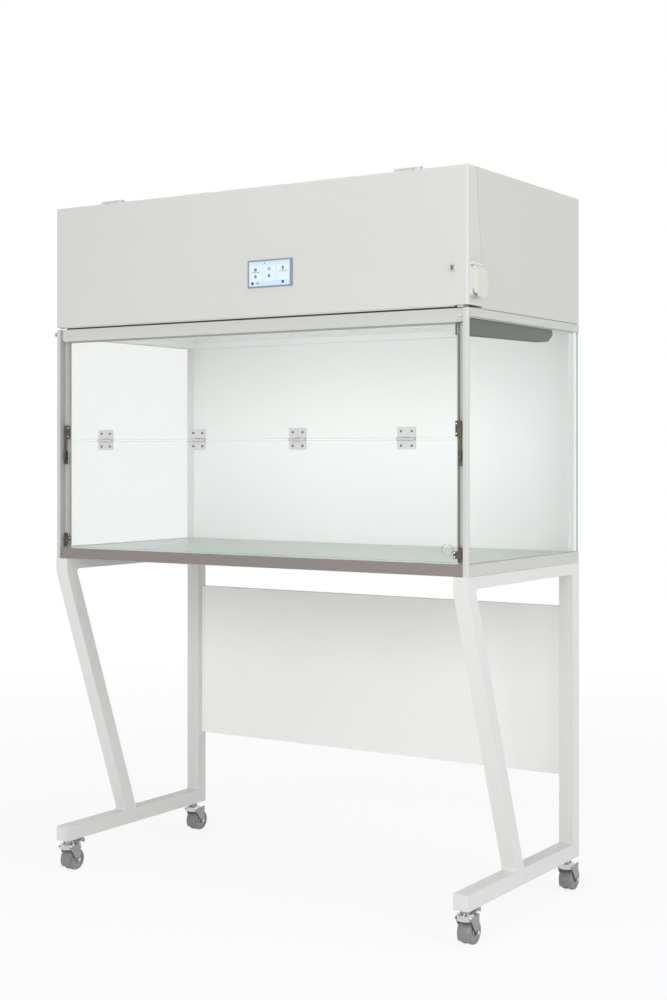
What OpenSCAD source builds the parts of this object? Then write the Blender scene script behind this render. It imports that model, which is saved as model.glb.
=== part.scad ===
// Laminar flow hood on a wheeled tube stand, in millimetres.
// X runs along the front from left to right, Y runs to the back and Z up from the floor.

/* [Cabinet] */
// Width of the cabinet and the stand
cabinet_w = 1300; // [1200:10:1500]
// Depth of the cabinet and the stand
cabinet_d = 640; // [600:10:760]
// Height of the work surface above the floor
worktop_z = 910; // [880:5:960]
// Height of the base frame under the work surface
base_h = 30; // [26:1:40]
// Height of the side glass above the work surface
glass_h = 590; // [560:5:660]
// Height of the plenum frame above the glass
plenum_frame_h = 20; // [18:1:26]
// Height of the housing above the plenum frame
housing_h = 340; // [330:5:400]
// Thickness of the folded sheet
sheet = 2; // [1.5:0.1:2.5]
// Shadow gap between the plenum frame and the housing
seam_gap = 2; // [1:0.5:4]
// Width of the members of the plenum frame and the base frame
member_w = 45; // [40:1:60]
// Radius of the upright front corners
corner_r = 5; // [3:0.5:6]

/* [Stand] */
// Width and height of the square stand tube
tube = 40; // [36:1:45]
// Wall of the stand tube
tube_wall = 2; // [1.5:0.5:3]
// Height of the flatter tube under the base frame
top_rail_h = 30; // [26:1:36]
// Drop from the top of the stand to the bend of the front leg
bend_drop = 38; // [36:1:60]
// How far back the slanted front leg meets the bottom rail
leg_run = 260; // [200:5:300]
// Radius of the welds in the corners of the side frames
weld_r = 8; // [4:1:12]
// Drop from the top of the stand to the modesty panel
panel_drop = 118; // [80:2:160]
// Height of the modesty panel
panel_h = 455; // [380:5:520]
// Depth of the folded edges of the modesty panel
panel_fold = 15; // [10:1:18]
// Thickness of the end caps of the bottom rails
cap_t = 3; // [2:0.5:5]

/* [Casters] */
// Height of the stand's bottom rails above the floor
caster_h = 88; // [86:1:100]
// Diameter of the wheels
wheel_d = 60; // [54:1:62]
// Width of one wheel of the pair
wheel_w = 16; // [12:1:18]
// Distance of the wheel axle behind the stem
trail = 22; // [16:1:26]
// Distance from the front end of a rail to the front stem
stem_front = 25; // [22:1:40]
// Distance from the rear end of a rail to the rear stem
stem_rear = 38; // [24:1:60]
// Radius of the caster stem
stem_r = 5; // [4:0.5:6]
// Radius of the wheel axle
axle_r = 3; // [2.5:0.5:4]
// Thickness of the pressed fork
fork_t = 2.5; // [2:0.5:3]

/* [Glass and posts] */
// Thickness of the side glass
side_glass_t = 6; // [5:0.5:8]
// Thickness of the window panes
pane_t = 5; // [4:0.5:6]
// Width of the front face of a post
post_face = 14; // [12:1:18]
// Width of the recessed strip beside the post face
post_strip = 22; // [20:1:26]
// Depth of the recessed strip behind the front
strip_back = 21; // [20:1:26]
// Depth of the forward flanges of the back panel
back_flange = 36; // [24:1:60]
// Distance of the back panel from the rear of the cabinet
back_gap = 16; // [12:1:30]

/* [Front cover] */
// Depth of the cover's cheeks at the top
cheek_top = 45; // [40:1:50]
// Depth of the cover's cheeks at the bottom
cheek_bottom = 71; // [64:1:72]
// Gap between the plenum frame and the bottom edge of the cover
cover_lift = 7; // [6:0.5:9]
// Distance of each cover hinge from the middle
cover_hinge_x = 470; // [380:5:540]
// Width of a cover hinge
cover_hinge_w = 76; // [60:1:90]
// Height of the cover hinge axis above the housing
cover_axis_up = 7; // [6.5:0.5:10]
// Distance of the cover hinge axis behind the front
cover_axis_back = 30; // [24:1:34]
// Radius of the cover hinge pins
cover_pin_r = 2.5; // [2:0.25:3]

/* [Display and lock] */
// Width of the display frame
display_w = 140; // [120:1:180]
// Height of the display frame
display_h = 71; // [60:1:90]
// Distance of the display from the middle
display_x = 81; // [-300:1:300]
// Height of the display's centre above the cover's bottom edge
display_up = 108; // [80:1:160]
// How far the display frame and the lock ring stand proud of the cover
trim_proud = 3; // [2:0.5:4]
// Distance of the key lock from the right side of the cover
lock_side = 42; // [38:1:90]
// Height of the key lock above the cover's bottom edge
lock_up = 89; // [60:1:140]
// Radius of the lock ring
lock_r = 10; // [9:0.5:12]

/* [Side socket] */
// Width of the mains socket
socket_w = 56; // [50:1:60]
// Height of the mains socket
socket_h = 82; // [76:1:100]
// Distance of the socket's front edge behind the front
socket_back = 7; // [6:1:10]
// Height of the socket's centre above the cover's bottom edge
socket_up = 62; // [50:1:160]
// How far the socket base stands out from the cheek
socket_base_t = 9; // [7:0.5:11]
// How far the closed lid stands out from the cheek
socket_reach = 22; // [20:0.5:26]
// Radius of the round plug recess
socket_r = 19.5; // [18:0.5:20]
// Radius of the corners of the socket base
base_round = 9; // [3:0.5:12]
// Radius of the lid's corners
lid_round = 20; // [8:1:22]

/* [Window] */
// Height of the sash's top rail
rail_h = 33; // [28:1:40]
// Thickness of the sash's top rail
rail_t = 3; // [2:0.5:3.5]
// Drop of the sash axis below the top of the rail
axis_drop = 12; // [10:0.5:12.5]
// Distance of the sash axis behind the front
axis_back = 14.5; // [13:0.5:15]
// Distance of the panes' front faces behind the front
pane_back = 11; // [10.5:0.5:12]
// Height of the lower pane
lower_pane_h = 294; // [240:1:297]
// Gap between the two panes
pane_gap = 4; // [2:0.5:6]
// Gap under the lower pane
pane_foot = 3; // [2:0.5:6]
// Radius of the pivot pins of the sash
pivot_r = 2.5; // [2:0.25:3]
// Reach of the thumb-screw beyond the side of the cabinet
knob_reach = 14; // [10:0.5:20]
// Number of window hinges
hinge_n = 4; // [2:1:5]
// Distance between the middles of two window hinges
hinge_pitch = 318; // [200:2:380]
// Width of a window hinge
hinge_w = 52; // [40:1:70]
// Height of the upper leaf of a window hinge
upper_leaf_h = 29; // [20:1:36]
// Height of the lower leaf of a window hinge
lower_leaf_h = 25; // [18:1:36]
// Radius of the knuckles of a window hinge
knuckle_r = 4; // [3.5:0.25:4.25]
// Radius of the pins of the window hinges
hinge_pin_r = 2; // [1.5:0.25:2.25]
// Radius of the finger hole in the lower pane
finger_r = 14; // [12:0.5:18]
// Distance of the finger hole from the pane's lower right corner
finger_in = 30; // [26:1:40]

/* [Catches] */
// Height of a catch body
catch_h = 36; // [32:1:44]
// Depth of a catch body
catch_d = 7.5; // [6.5:0.5:8]
// Height of the middle catches above the work surface
catch_mid_up = 252; // [240:1:272]
// Height of the lower catches above the work surface
catch_low_up = 22; // [21:1:60]
// Radius of the sprung balls
ball_r = 2; // [1.5:0.25:2.25]
// Height of the plates of the middle strikers
striker_h = 38; // [28:1:42]
// How far a striker plate reaches over the edge of its pane
striker_grip = 6; // [4:1:16]

/* [Lamp] */
// Length of the lamp housing
lamp_l = 475; // [360:5:520]
// Height of the lamp housing at the front
lamp_h = 42; // [36:1:50]
// Width of the lamp housing
lamp_w = 36; // [30:1:44]
// Radius of the lamp tube
lamp_tube_r = 8; // [6:0.5:8]

/* [Air path] */
// Height of the filter frame
filter_h = 76; // [60:1:90]
// Thickness of the filter frame's walls
filter_wall = 20; // [15:1:26]
// Distance between two pleats of the filter
pleat_pitch = 24; // [18:1:40]
// Depth of the diffuser tray in the window of the plenum frame
diffuser_h = 5; // [4:0.5:16]
// Distance between two holes of the diffuser
hole_pitch = 38; // [34:1:60]
// Width across the corners of a diffuser hole
hole_w = 20; // [16:1:30]
// Radius of the fan's impeller
fan_r = 120; // [90:1:130]
// Height of the fan's blades
blade_h = 50; // [40:1:60]
// Number of the fan's blades
blade_n = 9; // [6:1:12]
// Drop from the top of the housing to the fan's shelf
deck_drop = 92; // [88:1:96]
// Height of the fan motor
motor_h = 32; // [24:1:36]
// Radius of the fan motor
motor_r = 46; // [38:1:50]
// Length of the shaft between the motor and the impeller
shaft_gap = 8; // [6:1:10]
// Width of the air inlet on top
inlet_w = 420; // [320:5:520]
// Depth of the air inlet on top
inlet_d = 300; // [240:5:340]
// Distance between two slats of the inlet grille
slat_pitch = 15; // [12:1:20]

/* [Control box] */
// Width of the control box
control_w = 200; // [170:5:260]
// Height of the control box
control_h = 140; // [90:5:150]
// Depth of the control box
control_d = 44; // [30:1:44]
// Distance of the control box from the left side of the housing
control_side = 230; // [60:5:300]
// Height of the control box above the seam of the housing
control_up = 90; // [86:1:100]

/* [Hidden] */

$fn = 48;
run = 0.05;      // radial clearance of a running fit
seat = 0.3;      // gap between seated pieces that don't touch
part_gap = 1.5;  // gap between the cover and the casing

white = [0.93, 0.93, 0.92];
pale_grey = [0.83, 0.84, 0.82];
mid_grey = [0.55, 0.56, 0.55];
dark_grey = [0.28, 0.29, 0.28];
steel = [0.72, 0.72, 0.70];
chrome = [0.80, 0.81, 0.82];
brass = [0.72, 0.56, 0.30];
cream = [0.90, 0.89, 0.82];
clear = [0.85, 0.92, 0.90, 0.35];
screen_blue = [0.55, 0.70, 0.85];

// Heights
stand_top = worktop_z - base_h;
rail_top = caster_h + tube;
glass_top = worktop_z + glass_h;
frame_top = glass_top + plenum_frame_h;
casing_bottom = frame_top + seam_gap;
housing_top = frame_top + housing_h;
cover_bottom = frame_top + cover_lift;

// Plan
half_w = cabinet_w / 2;
half_d = cabinet_d / 2;
front = -half_d;
rear = half_d;
inner_w = half_w - tube;
post_x = half_w - post_face;
strip_x = post_x - post_strip + sheet;
strip_y = front + strip_back;
post_side = 8;
back_y = rear - back_gap;
glass_out = half_w - 1;
glass_in = glass_out - side_glass_t;

// Origin at the middle of the part's box, on the floor
wheel_r = wheel_d / 2;
rear_reach = trail + wheel_r - stem_rear;
shift_x = (socket_reach - knob_reach) / 2;
shift_y = (rear_reach - trim_proud) / 2;

module placed() translate([-shift_x, -shift_y, 0]) children();

module block(x, y, z) translate([x[0], y[0], z[0]]) cube([x[1] - x[0], y[1] - y[0], z[1] - z[0]]);

// Extrudes an outline drawn in Y and Z along X
module along_x(x0, x1) translate([x0, 0, 0]) rotate([90, 0, 90]) linear_extrude(x1 - x0) children();

// Extrudes an outline drawn in X and Z along Y
module along_y(y0, y1) translate([0, y1, 0]) rotate([90, 0, 0]) linear_extrude(y1 - y0) children();

module rod_x(x0, x1, y, z, r) translate([x0, y, z]) rotate([0, 90, 0]) cylinder(r = r, h = x1 - x0);
module rod_y(y0, y1, x, z, r) translate([x, y1, z]) rotate([90, 0, 0]) cylinder(r = r, h = y1 - y0);
module rod_z(z0, z1, x, y, r) translate([x, y, z0]) cylinder(r = r, h = z1 - z0);

module both_sides() {
    children();
    mirror([1, 0, 0]) children();
}

function heading(a) = [cos(a), sin(a)];

// Fills the corner at p between the headings a and b with a weld of radius r
module weld(p, a, b, r) {
    half = (b - a) / 2;
    centre = p + heading((a + b) / 2) * r / sin(half);
    difference() {
        polygon([p, p + heading(a) * r / tan(half), centre, p + heading(b) * r / tan(half)]);
        translate(centre) circle(r = r);
    }
}

// ---- Stand ----

bend_z = stand_top - bend_drop;
rail_ceiling = stand_top - top_rail_h;
leg_angle = atan2(bend_z - rail_top, -leg_run);
leg_width = tube / sin(leg_angle);
leg_lean = leg_run / (bend_z - rail_top);
inner_bend_y = front + leg_width - leg_lean * (rail_ceiling - bend_z);

module side_outline() {
    foot = [front + leg_run + leg_width, rail_top];
    translate([front + cap_t, caster_h]) square([cabinet_d - cap_t, tube]);
    translate([rear - tube, caster_h]) square([tube, stand_top - caster_h]);
    translate([front, rail_ceiling]) square([cabinet_d, top_rail_h]);
    polygon([
        [front, stand_top], [front, bend_z], [front + leg_run, rail_top], foot,
        [inner_bend_y, rail_ceiling], [inner_bend_y, stand_top]
    ]);
    weld([front + leg_run, rail_top], leg_angle, 180, weld_r);
    weld(foot, 0, leg_angle, weld_r);
    weld([rear - tube, rail_top], 90, 180, weld_r);
    weld([rear - tube, rail_ceiling], 180, 270, weld_r);
    weld([inner_bend_y, rail_ceiling], leg_angle + 180, 360, weld_r);
}

module side_hollow() {
    w = tube_wall;
    slant = w / sin(leg_angle);
    translate([front - 1, caster_h + w]) square([cabinet_d - w + 1, tube - 2 * w]);
    translate([rear - tube + w, caster_h + w]) square([tube - 2 * w, stand_top - caster_h - 2 * w]);
    translate([front + tube, rail_ceiling + w]) square([cabinet_d - 2 * tube, top_rail_h - 2 * w]);
    polygon([
        [front + leg_run + slant - leg_lean * w, rail_top + w],
        [front + leg_run + leg_width - slant - leg_lean * w, rail_top + w],
        [inner_bend_y - slant + leg_lean * w, rail_ceiling - w],
        [front + slant, bend_z - w]
    ]);
}

module side_frame() {
    difference() {
        along_x(inner_w, half_w) side_outline();
        along_x(inner_w + tube_wall, half_w - tube_wall) side_hollow();
        for (y = [front + stem_front, rear - stem_rear])
            rod_z(caster_h - 1, caster_h + tube_wall + 1, half_w - tube / 2, y, stem_r + run);
        translate([0, rear, caster_h]) rotate([90, 0, 90]) linear_extrude(half_w + 1) difference() {
            translate([-corner_r, -1]) square([corner_r + 1, corner_r + 1]);
            translate([-corner_r, corner_r]) circle(r = corner_r);
        }
    }
}

module side_frame_right() placed() color(white) side_frame();
module side_frame_left() placed() color(white) mirror([1, 0, 0]) side_frame();

module end_cap() {
    inner = tube_wall + seat;
    block([inner_w, half_w], [front, front + cap_t], [caster_h, rail_top]);
    difference() {
        block([inner_w + inner, half_w - inner], [front + cap_t, front + cap_t + 12],
            [caster_h + inner, rail_top - inner]);
        block([inner_w + inner + 3, half_w - inner - 3], [front + cap_t, front + cap_t + 13],
            [caster_h + inner + 3, rail_top - inner - 3]);
    }
}

module rail_end_caps() placed() color(white) both_sides() end_cap();

module modesty_panel() placed() color(pale_grey) {
    z1 = stand_top - panel_drop;
    z0 = z1 - panel_h;
    y0 = rear - tube / 2;
    difference() {
        block([-inner_w, inner_w], [y0, y0 + panel_fold], [z0, z1]);
        block([-inner_w + sheet, inner_w - sheet], [y0 + sheet, y0 + panel_fold + 1], [z0 + sheet, z1 - sheet]);
    }
}

// ---- Casters, drawn with the stem on the Z axis and the floor at Z = 0 ----

hood_top = caster_h - 10;
hood_r = wheel_w + 3 + fork_t;
fork_in = wheel_w + 3;
lug_y = hood_r + 5.5;
lug_z = hood_top - 8;

module caster_stem() {
    rod_z(hood_top + seat, caster_h, 0, 0, stem_r + 7.5);
    rod_z(hood_top - fork_t - seat - 4, caster_h + 22, 0, 0, stem_r);
    rod_z(hood_top - fork_t - seat - 4, hood_top - fork_t - seat, 0, 0, stem_r + 3);
    difference() {
        rod_z(caster_h + tube_wall, caster_h + tube_wall + 7, 0, 0, stem_r + 4);
        rod_z(caster_h + tube_wall - 1, caster_h + tube_wall + 8, 0, 0, stem_r);
    }
}

// Fork leg in Y and Z: a plate that narrows from the hood to the axle, with the ear for the brake pedal
module fork_leg_outline() {
    axle_end = axle_r + 6;
    polygon([
        [-hood_r + 6, hood_top - 8], [hood_r - 2, hood_top - 4], [lug_y + 2, lug_z + 4],
        [lug_y + 4, lug_z - 3], [trail + axle_end, wheel_r + 2], [trail + 2, wheel_r - axle_end + 1],
        [trail - axle_end + 1, wheel_r]
    ]);
    translate([trail, wheel_r]) circle(r = axle_end);
    translate([lug_y, lug_z]) circle(r = 5);
}

module caster_fork(pedal) {
    difference() {
        union() {
            difference() {
                union() {
                    rod_z(hood_top - 16, hood_top - 3, 0, 0, hood_r);
                    translate([0, 0, hood_top - 3]) cylinder(r1 = hood_r, r2 = hood_r - 3, h = 3);
                }
                rod_z(hood_top - 17, hood_top - fork_t, 0, 0, hood_r - fork_t);
            }
            along_x(-fork_in - fork_t, -fork_in) fork_leg_outline();
            along_x(fork_in, fork_in + fork_t) fork_leg_outline();
        }
        rod_z(hood_top - 5, hood_top + 1, 0, 0, stem_r + run);
    }
    rod_x(-fork_in - fork_t - 1.5, fork_in + fork_t + 1.5, trail, wheel_r, axle_r);
    for (side = [-1, 1])
        translate([side * (fork_in + fork_t + 0.7), 0, 0]) rod_x(-0.8, 0.8, trail, wheel_r, axle_r + 2);
    if (pedal) rod_x(-fork_in - fork_t - 1, fork_in + fork_t + 1, lug_y, lug_z, 2);
}

// One wheel: rounded tread, dished face and bored hub
module wheel() {
    edge = 3.5;
    translate([0, trail, wheel_r]) rotate([0, 90, 0]) rotate_extrude() difference() {
        union() {
            translate([axle_r + run, 0]) square([wheel_r - edge - axle_r - run, wheel_w]);
            translate([axle_r + run, edge]) square([wheel_r - axle_r - run, wheel_w - 2 * edge]);
            for (x = [edge, wheel_w - edge]) translate([wheel_r - edge, x]) circle(r = edge);
        }
        translate([axle_r + 6, wheel_w - 2]) square([wheel_r - axle_r - 14, 3]);
    }
}

module caster_wheels() {
    translate([1, 0, 0]) wheel();
    mirror([1, 0, 0]) translate([1, 0, 0]) wheel();
}

// Pedal with its sleeve between the ears and a turned-down tip behind the wheels
module brake_pedal() {
    tip = trail + wheel_r + 8;
    sleeve = fork_in - 1;
    difference() {
        union() {
            rod_x(-sleeve, sleeve, lug_y, lug_z, 4.5);
            along_x(-11, 11) polygon([
                [lug_y - 1, lug_z + 4.3], [tip - 3, hood_top + 5], [tip, hood_top + 3],
                [tip, hood_top - 7], [tip - 3, hood_top - 7], [tip - 4, hood_top + 1], [lug_y + 2, lug_z]
            ]);
        }
        rod_x(-sleeve - 1, sleeve + 1, lug_y, lug_z, 2 + run);
    }
}

caster_x = half_w - tube / 2;
caster_front_y = front + stem_front;
caster_rear_y = rear - stem_rear;

module at_caster(side, y) placed() translate([side * caster_x, y, 0]) children();

module caster_stems() color(dark_grey) for (side = [-1, 1], y = [caster_front_y, caster_rear_y])
    at_caster(side, y) caster_stem();

// ---- Base frame and worktop ----

module base_frame() placed() color(pale_grey) {
    lip = half_w - post_face + sheet;
    y0 = front + post_side + seat;
    ledge = worktop_z - sheet;
    difference() {
        union() {
            block([-half_w, half_w], [y0, rear], [stand_top, worktop_z]);
            block([-post_x, post_x], [front + sheet + seat, y0 + 1], [stand_top, ledge]);
        }
        block([-half_w + member_w, half_w - member_w], [y0 + member_w, rear - member_w],
            [stand_top - 1, worktop_z + 1]);
        block([-lip, lip], [front - 1, rear - 20 + seat], [ledge, worktop_z + 1]);
    }
}

module worktop() placed() color(steel) {
    lip = half_w - post_face + sheet - seat;
    y0 = front + post_side + seat;
    x = post_x - seat;
    slit = strip_x - seat;
    block([-lip, lip], [strip_y + sheet + seat, rear - 20], [worktop_z - sheet, worktop_z]);
    block([-slit, slit], [y0, rear - 20], [worktop_z - sheet, worktop_z]);
    block([-x, x], [front, strip_y - seat], [worktop_z - sheet, worktop_z]);
    along_y(front, front + sheet) {
        translate([-x, stand_top + 1 + corner_r]) square([2 * x, base_h - 1 - corner_r]);
        translate([-x + corner_r, stand_top + 1]) square([2 * (x - corner_r), base_h - 1]);
        for (side = [-1, 1])
            translate([side * (x - corner_r), stand_top + 1 + corner_r]) circle(r = corner_r);
    }
}

// ---- Posts, glass and back panel ----

// Plan of the folded post with its rounded outer corner, grown inwards by t
module post_plan(t) {
    translate([post_x + t, front + t]) square([post_face - corner_r - t, post_side]);
    translate([post_x + t, front + corner_r]) square([post_face - 2 * t, post_side - corner_r + t]);
    intersection() {
        translate([half_w - corner_r, front + corner_r]) circle(r = corner_r - t);
        translate([half_w - corner_r, front - 1]) square([corner_r + 1, corner_r + 1]);
    }
}

module post() difference() {
    union() {
        translate([0, 0, stand_top]) linear_extrude(frame_top - stand_top) difference() {
            post_plan(0);
            post_plan(sheet);
        }
        block([post_x, post_x + sheet], [front + sheet, strip_y + sheet], [worktop_z - sheet, frame_top]);
        block([strip_x, post_x + sheet], [strip_y, strip_y + sheet], [worktop_z - sheet, frame_top - rail_h]);
    }
    rod_x(post_x - 1, post_x + sheet + 1, axis_y, axis_z, pivot_r + run);
}

module front_post_right() placed() color(pale_grey) post();
module front_post_left() placed() color(pale_grey) mirror([1, 0, 0]) post();

module side_glass()
    block([glass_in, glass_out], [front + post_side + seat, rear - 4], [worktop_z, glass_top]);

module side_glass_right() placed() color(clear) side_glass();
module side_glass_left() placed() color(clear) mirror([1, 0, 0]) side_glass();

module back_panel() placed() color(white) {
    x1 = glass_in - seat;
    difference() {
        block([-x1, x1], [back_y - back_flange, back_y], [worktop_z, glass_top]);
        block([-x1 + sheet, x1 - sheet], [back_y - back_flange - 1, back_y - sheet],
            [worktop_z - 1, glass_top + 1]);
    }
}

// ---- Plenum frame, housing and the air path ----

ring_front = front + 29;
ring_lip = post_x + sheet;

module plenum_frame() placed() color(pale_grey) difference() {
    union() {
        block([-half_w, half_w], [ring_front, rear], [glass_top, frame_top]);
        both_sides() block([ring_lip, half_w], [front + post_side + seat, ring_front + 1], [glass_top, frame_top]);
        block([-half_w + 4, half_w - 4], [ring_front, rear - 4], [frame_top - 1, casing_bottom]);
    }
    block([-half_w + member_w, half_w - member_w], [ring_front + member_w, rear - member_w],
        [glass_top - 1, casing_bottom + 1]);
    rod_x(-half_w - 1, half_w + 1, axis_y, axis_z, pivot_r + run);
}

// Line between the cover's cheek and the casing in Y and Z, moved back by the gap
function cheek_line(gap) = [
    [front + cheek_bottom + gap, cover_bottom - 20],
    [front + cheek_bottom + gap, cover_bottom + 116],
    [front + (cheek_top + cheek_bottom) / 2 - 2 + gap, cover_bottom + 208],
    [front + cheek_top + gap, housing_top],
    [front + cheek_top + gap, housing_top + 20]
];

module casing_outline() polygon(concat(
    cheek_line(part_gap), [[rear, housing_top + 20], [rear, cover_bottom - 20]]
));

inlet_y = 40;

module housing_casing() placed() color(white) {
    difference() {
        intersection() {
            block([-half_w, half_w], [front, rear], [casing_bottom, housing_top]);
            along_x(-half_w, half_w) casing_outline();
        }
        block([-half_w + sheet, half_w - sheet], [front - 1, rear - sheet],
            [casing_bottom - 1, housing_top - sheet]);
        block([-inlet_w / 2, inlet_w / 2], [inlet_y - inlet_d / 2, inlet_y + inlet_d / 2],
            [housing_top - sheet - 1, housing_top + 1]);
    }
    difference() {
        block([-half_w + sheet, half_w - sheet], [front + cheek_bottom + part_gap, rear - sheet],
            [casing_bottom, casing_bottom + sheet]);
        block([-half_w + member_w, half_w - member_w], [ring_front + member_w, rear - member_w],
            [casing_bottom - 1, casing_bottom + sheet + 1]);
    }
}

panel_y = front + cheek_bottom + part_gap + seat;
lock_x = half_w - lock_side;
keeper_x = lock_x + 14;
lock_z = cover_bottom + lock_up;
keeper_z = [lock_z - 3, lock_z + 16];

// Sheet that closes the plenum behind the cover, with the folded keeper for the lock's cam
module plenum_front_panel() placed() color(white) {
    x1 = half_w - sheet - seat;
    z0 = casing_bottom + sheet;
    block([-x1, x1], [panel_y, panel_y + sheet], [z0, housing_top - sheet]);
    for (z = [z0, housing_top - 2 * sheet]) block([-x1, x1], [panel_y, panel_y + 12], [z, z + sheet]);
    block([keeper_x + 20, keeper_x + 22], [cam_y - 6, panel_y + 1], keeper_z);
    block([keeper_x, keeper_x + 22], [cam_y - 6, cam_y - 6 + sheet], keeper_z);
}

filter_x = half_w - sheet - 4;
filter_front = panel_y + 12 + seat;
filter_rear = rear - sheet - 4;
filter_z = casing_bottom + sheet;

module filter_frame() placed() color(steel) difference() {
    block([-filter_x, filter_x], [filter_front, filter_rear], [filter_z, filter_z + filter_h]);
    block([-filter_x + filter_wall, filter_x - filter_wall],
        [filter_front + filter_wall, filter_rear - filter_wall], [filter_z - 1, filter_z + filter_h + 1]);
}

// Pleated sheet: a zigzag across the width, carried along the depth
module filter_media() placed() color(white) {
    reach = filter_x - filter_wall;
    n = floor(2 * reach / pleat_pitch);
    step = 2 * reach / (2 * n);
    t = 2.5;
    low = filter_z + 4;
    high = filter_z + filter_h - 4 - t;
    lower = [for (i = [0 : 2 * n]) [-reach + i * step, i % 2 == 0 ? low : high]];
    upper = [for (i = [2 * n : -1 : 0]) [-reach + i * step, (i % 2 == 0 ? low : high) + t]];
    along_y(filter_front + filter_wall, filter_rear - filter_wall) polygon(concat(lower, upper));
}

lamp_in = half_w - 16 - lamp_w;

// Tray of perforated sheet in the window of the plenum frame: a grid of six-sided holes
module diffuser() placed() color(white) {
    x1 = half_w - member_w - seat;
    y0 = ring_front + member_w + seat;
    y1 = rear - member_w - seat;
    z0 = casing_bottom - diffuser_h;
    nx = floor((2 * x1 - 40) / hole_pitch);
    ny = floor((y1 - y0 - 40) / hole_pitch);
    difference() {
        block([-x1, x1], [y0, y1], [z0, casing_bottom]);
        block([-x1 + sheet, x1 - sheet], [y0 + sheet, y1 - sheet], [z0 + sheet, casing_bottom + 1]);
        translate([0, (y0 + y1) / 2, z0 - 1]) linear_extrude(sheet + 2)
            for (i = [0 : nx - 1], j = [0 : ny - 1])
                translate([(i - (nx - 1) / 2) * hole_pitch, (j - (ny - 1) / 2) * hole_pitch])
                    circle(r = hole_w / 2, $fn = 6);
    }
}

module inlet_grille() placed() color(pale_grey) translate([0, inlet_y, housing_top]) {
    w = inlet_w / 2 + 16;
    d = inlet_d / 2 + 16;
    difference() {
        block([-w, w], [-d, d], [0, 4]);
        block([-w + 22, w - 22], [-d + 22, d - 22], [-1, 5]);
    }
    n = floor((2 * d - 44) / slat_pitch) - 1;
    for (i = [0 : n]) translate([0, (i - n / 2) * slat_pitch, 0]) along_x(-w + 21, w - 21)
        polygon([[-5, -3], [-3.4, -3], [5, 4], [3.4, 4]]);
    for (x = [-inlet_w / 6, inlet_w / 6]) block([x - 2, x + 2], [-d + 21, d - 21], [-3, 1]);
}

module prefilter_pad() placed() color([0.80, 0.82, 0.84])
    block([-inlet_w / 2 + 3, inlet_w / 2 - 3], [inlet_y - inlet_d / 2 + 3, inlet_y + inlet_d / 2 - 3],
        [housing_top - 22, housing_top - 3 - seat]);

deck_z = housing_top - deck_drop;
impeller_top = deck_z - 6;
impeller_z = impeller_top - blade_h - 4;
motor_z = impeller_z - shaft_gap - motor_h;
shaft_r = 6;

// Shelf that carries the fan: plate with the inlet ring, ledge for the prefilter and legs for the motor plate
module fan_deck() placed() color(steel) {
    x1 = half_w - sheet - seat;
    difference() {
        union() {
            block([-x1, x1], [panel_y + sheet, rear - sheet], [deck_z, deck_z + sheet]);
            translate([0, inlet_y, deck_z - 9]) cylinder(r1 = fan_r * 0.55, r2 = fan_r * 0.7, h = 9 + sheet);
        }
        translate([0, inlet_y, deck_z - 9.01]) cylinder(r1 = fan_r * 0.55 - sheet, r2 = fan_r * 0.7 - sheet,
            h = 9.02 + sheet);
    }
    for (a = [45 : 90 : 315]) translate([0, inlet_y, 0]) rotate(a) translate([fan_r + 20, 0, motor_z - sheet])
        cylinder(r = 6, h = deck_z - motor_z + 2 * sheet);
    translate([0, inlet_y, motor_z - sheet]) linear_extrude(sheet) difference() {
        circle(r = fan_r + 30);
        for (a = [0 : 90 : 270]) rotate(a) translate([fan_r * 0.72, 0]) circle(r = fan_r * 0.22);
    }
    for (x = [-1, 1] * (inlet_w / 2 - 15), y = [inlet_y - inlet_d / 2 + 15, inlet_y + inlet_d / 2 - 15])
        rod_z(deck_z + 1, housing_top - 22, x, y, 8);
}

module fan_motor() placed() color(dark_grey) translate([0, inlet_y, motor_z]) difference() {
    union() {
        cylinder(r = motor_r, h = motor_h - 6);
        translate([0, 0, motor_h - 6]) cylinder(r1 = motor_r, r2 = motor_r - 12, h = 6);
        cylinder(r = motor_r + 8, h = 4);
    }
    translate([0, 0, 3]) cylinder(r = shaft_r + run, h = motor_h);
}

// Backward-curved blades between a back plate and a shroud, on the motor's shaft
module fan_impeller() placed() color(mid_grey) translate([0, inlet_y, impeller_z]) {
    curve = fan_r * 0.75;
    difference() {
        union() {
            cylinder(r = fan_r, h = 2);
            translate([0, 0, blade_h]) cylinder(r = fan_r, h = 2);
            for (i = [0 : blade_n - 1]) rotate(i * 360 / blade_n) intersection() {
                translate([fan_r * 0.22, curve, 1]) difference() {
                    cylinder(r = curve + 1.2, h = blade_h);
                    translate([0, 0, -1]) cylinder(r = curve - 1.2, h = blade_h + 2);
                }
                translate([fan_r * 0.2, -fan_r, 0]) cube([fan_r, fan_r * 1.4, blade_h + 1]);
                difference() {
                    cylinder(r = fan_r - 1, h = blade_h + 2);
                    translate([0, 0, -1]) cylinder(r = fan_r * 0.5, h = blade_h + 4);
                }
            }
            cylinder(r = shaft_r + 12, h = 16);
        }
        translate([0, 0, blade_h - 1]) cylinder(r = fan_r * 0.62, h = 5);
    }
    translate([0, 0, motor_z - impeller_z + 4]) cylinder(r = shaft_r, h = impeller_z - motor_z + 8);
}

module control_box() placed() color(pale_grey) {
    x = [control_side - half_w, control_side - half_w + control_w];
    z = [casing_bottom + control_up, casing_bottom + control_up + control_h];
    y = panel_y - control_d;
    difference() {
        block(x, [y, panel_y], z);
        block([x[0] + 2, x[1] - 2], [y - 1, panel_y - 2], [z[0] + 2, z[1] - 2]);
    }
    block([x[0] - 1, x[1] + 1], [y - 2, y], [z[0] - 1, z[1] + 1]);
    for (i = [0 : 3]) rod_z(z[0] - 12, z[0] + 1, x[0] + 40 + i * 40, y + 22, 8);
}

// ---- Lamp at the right of the ceiling ----

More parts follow.
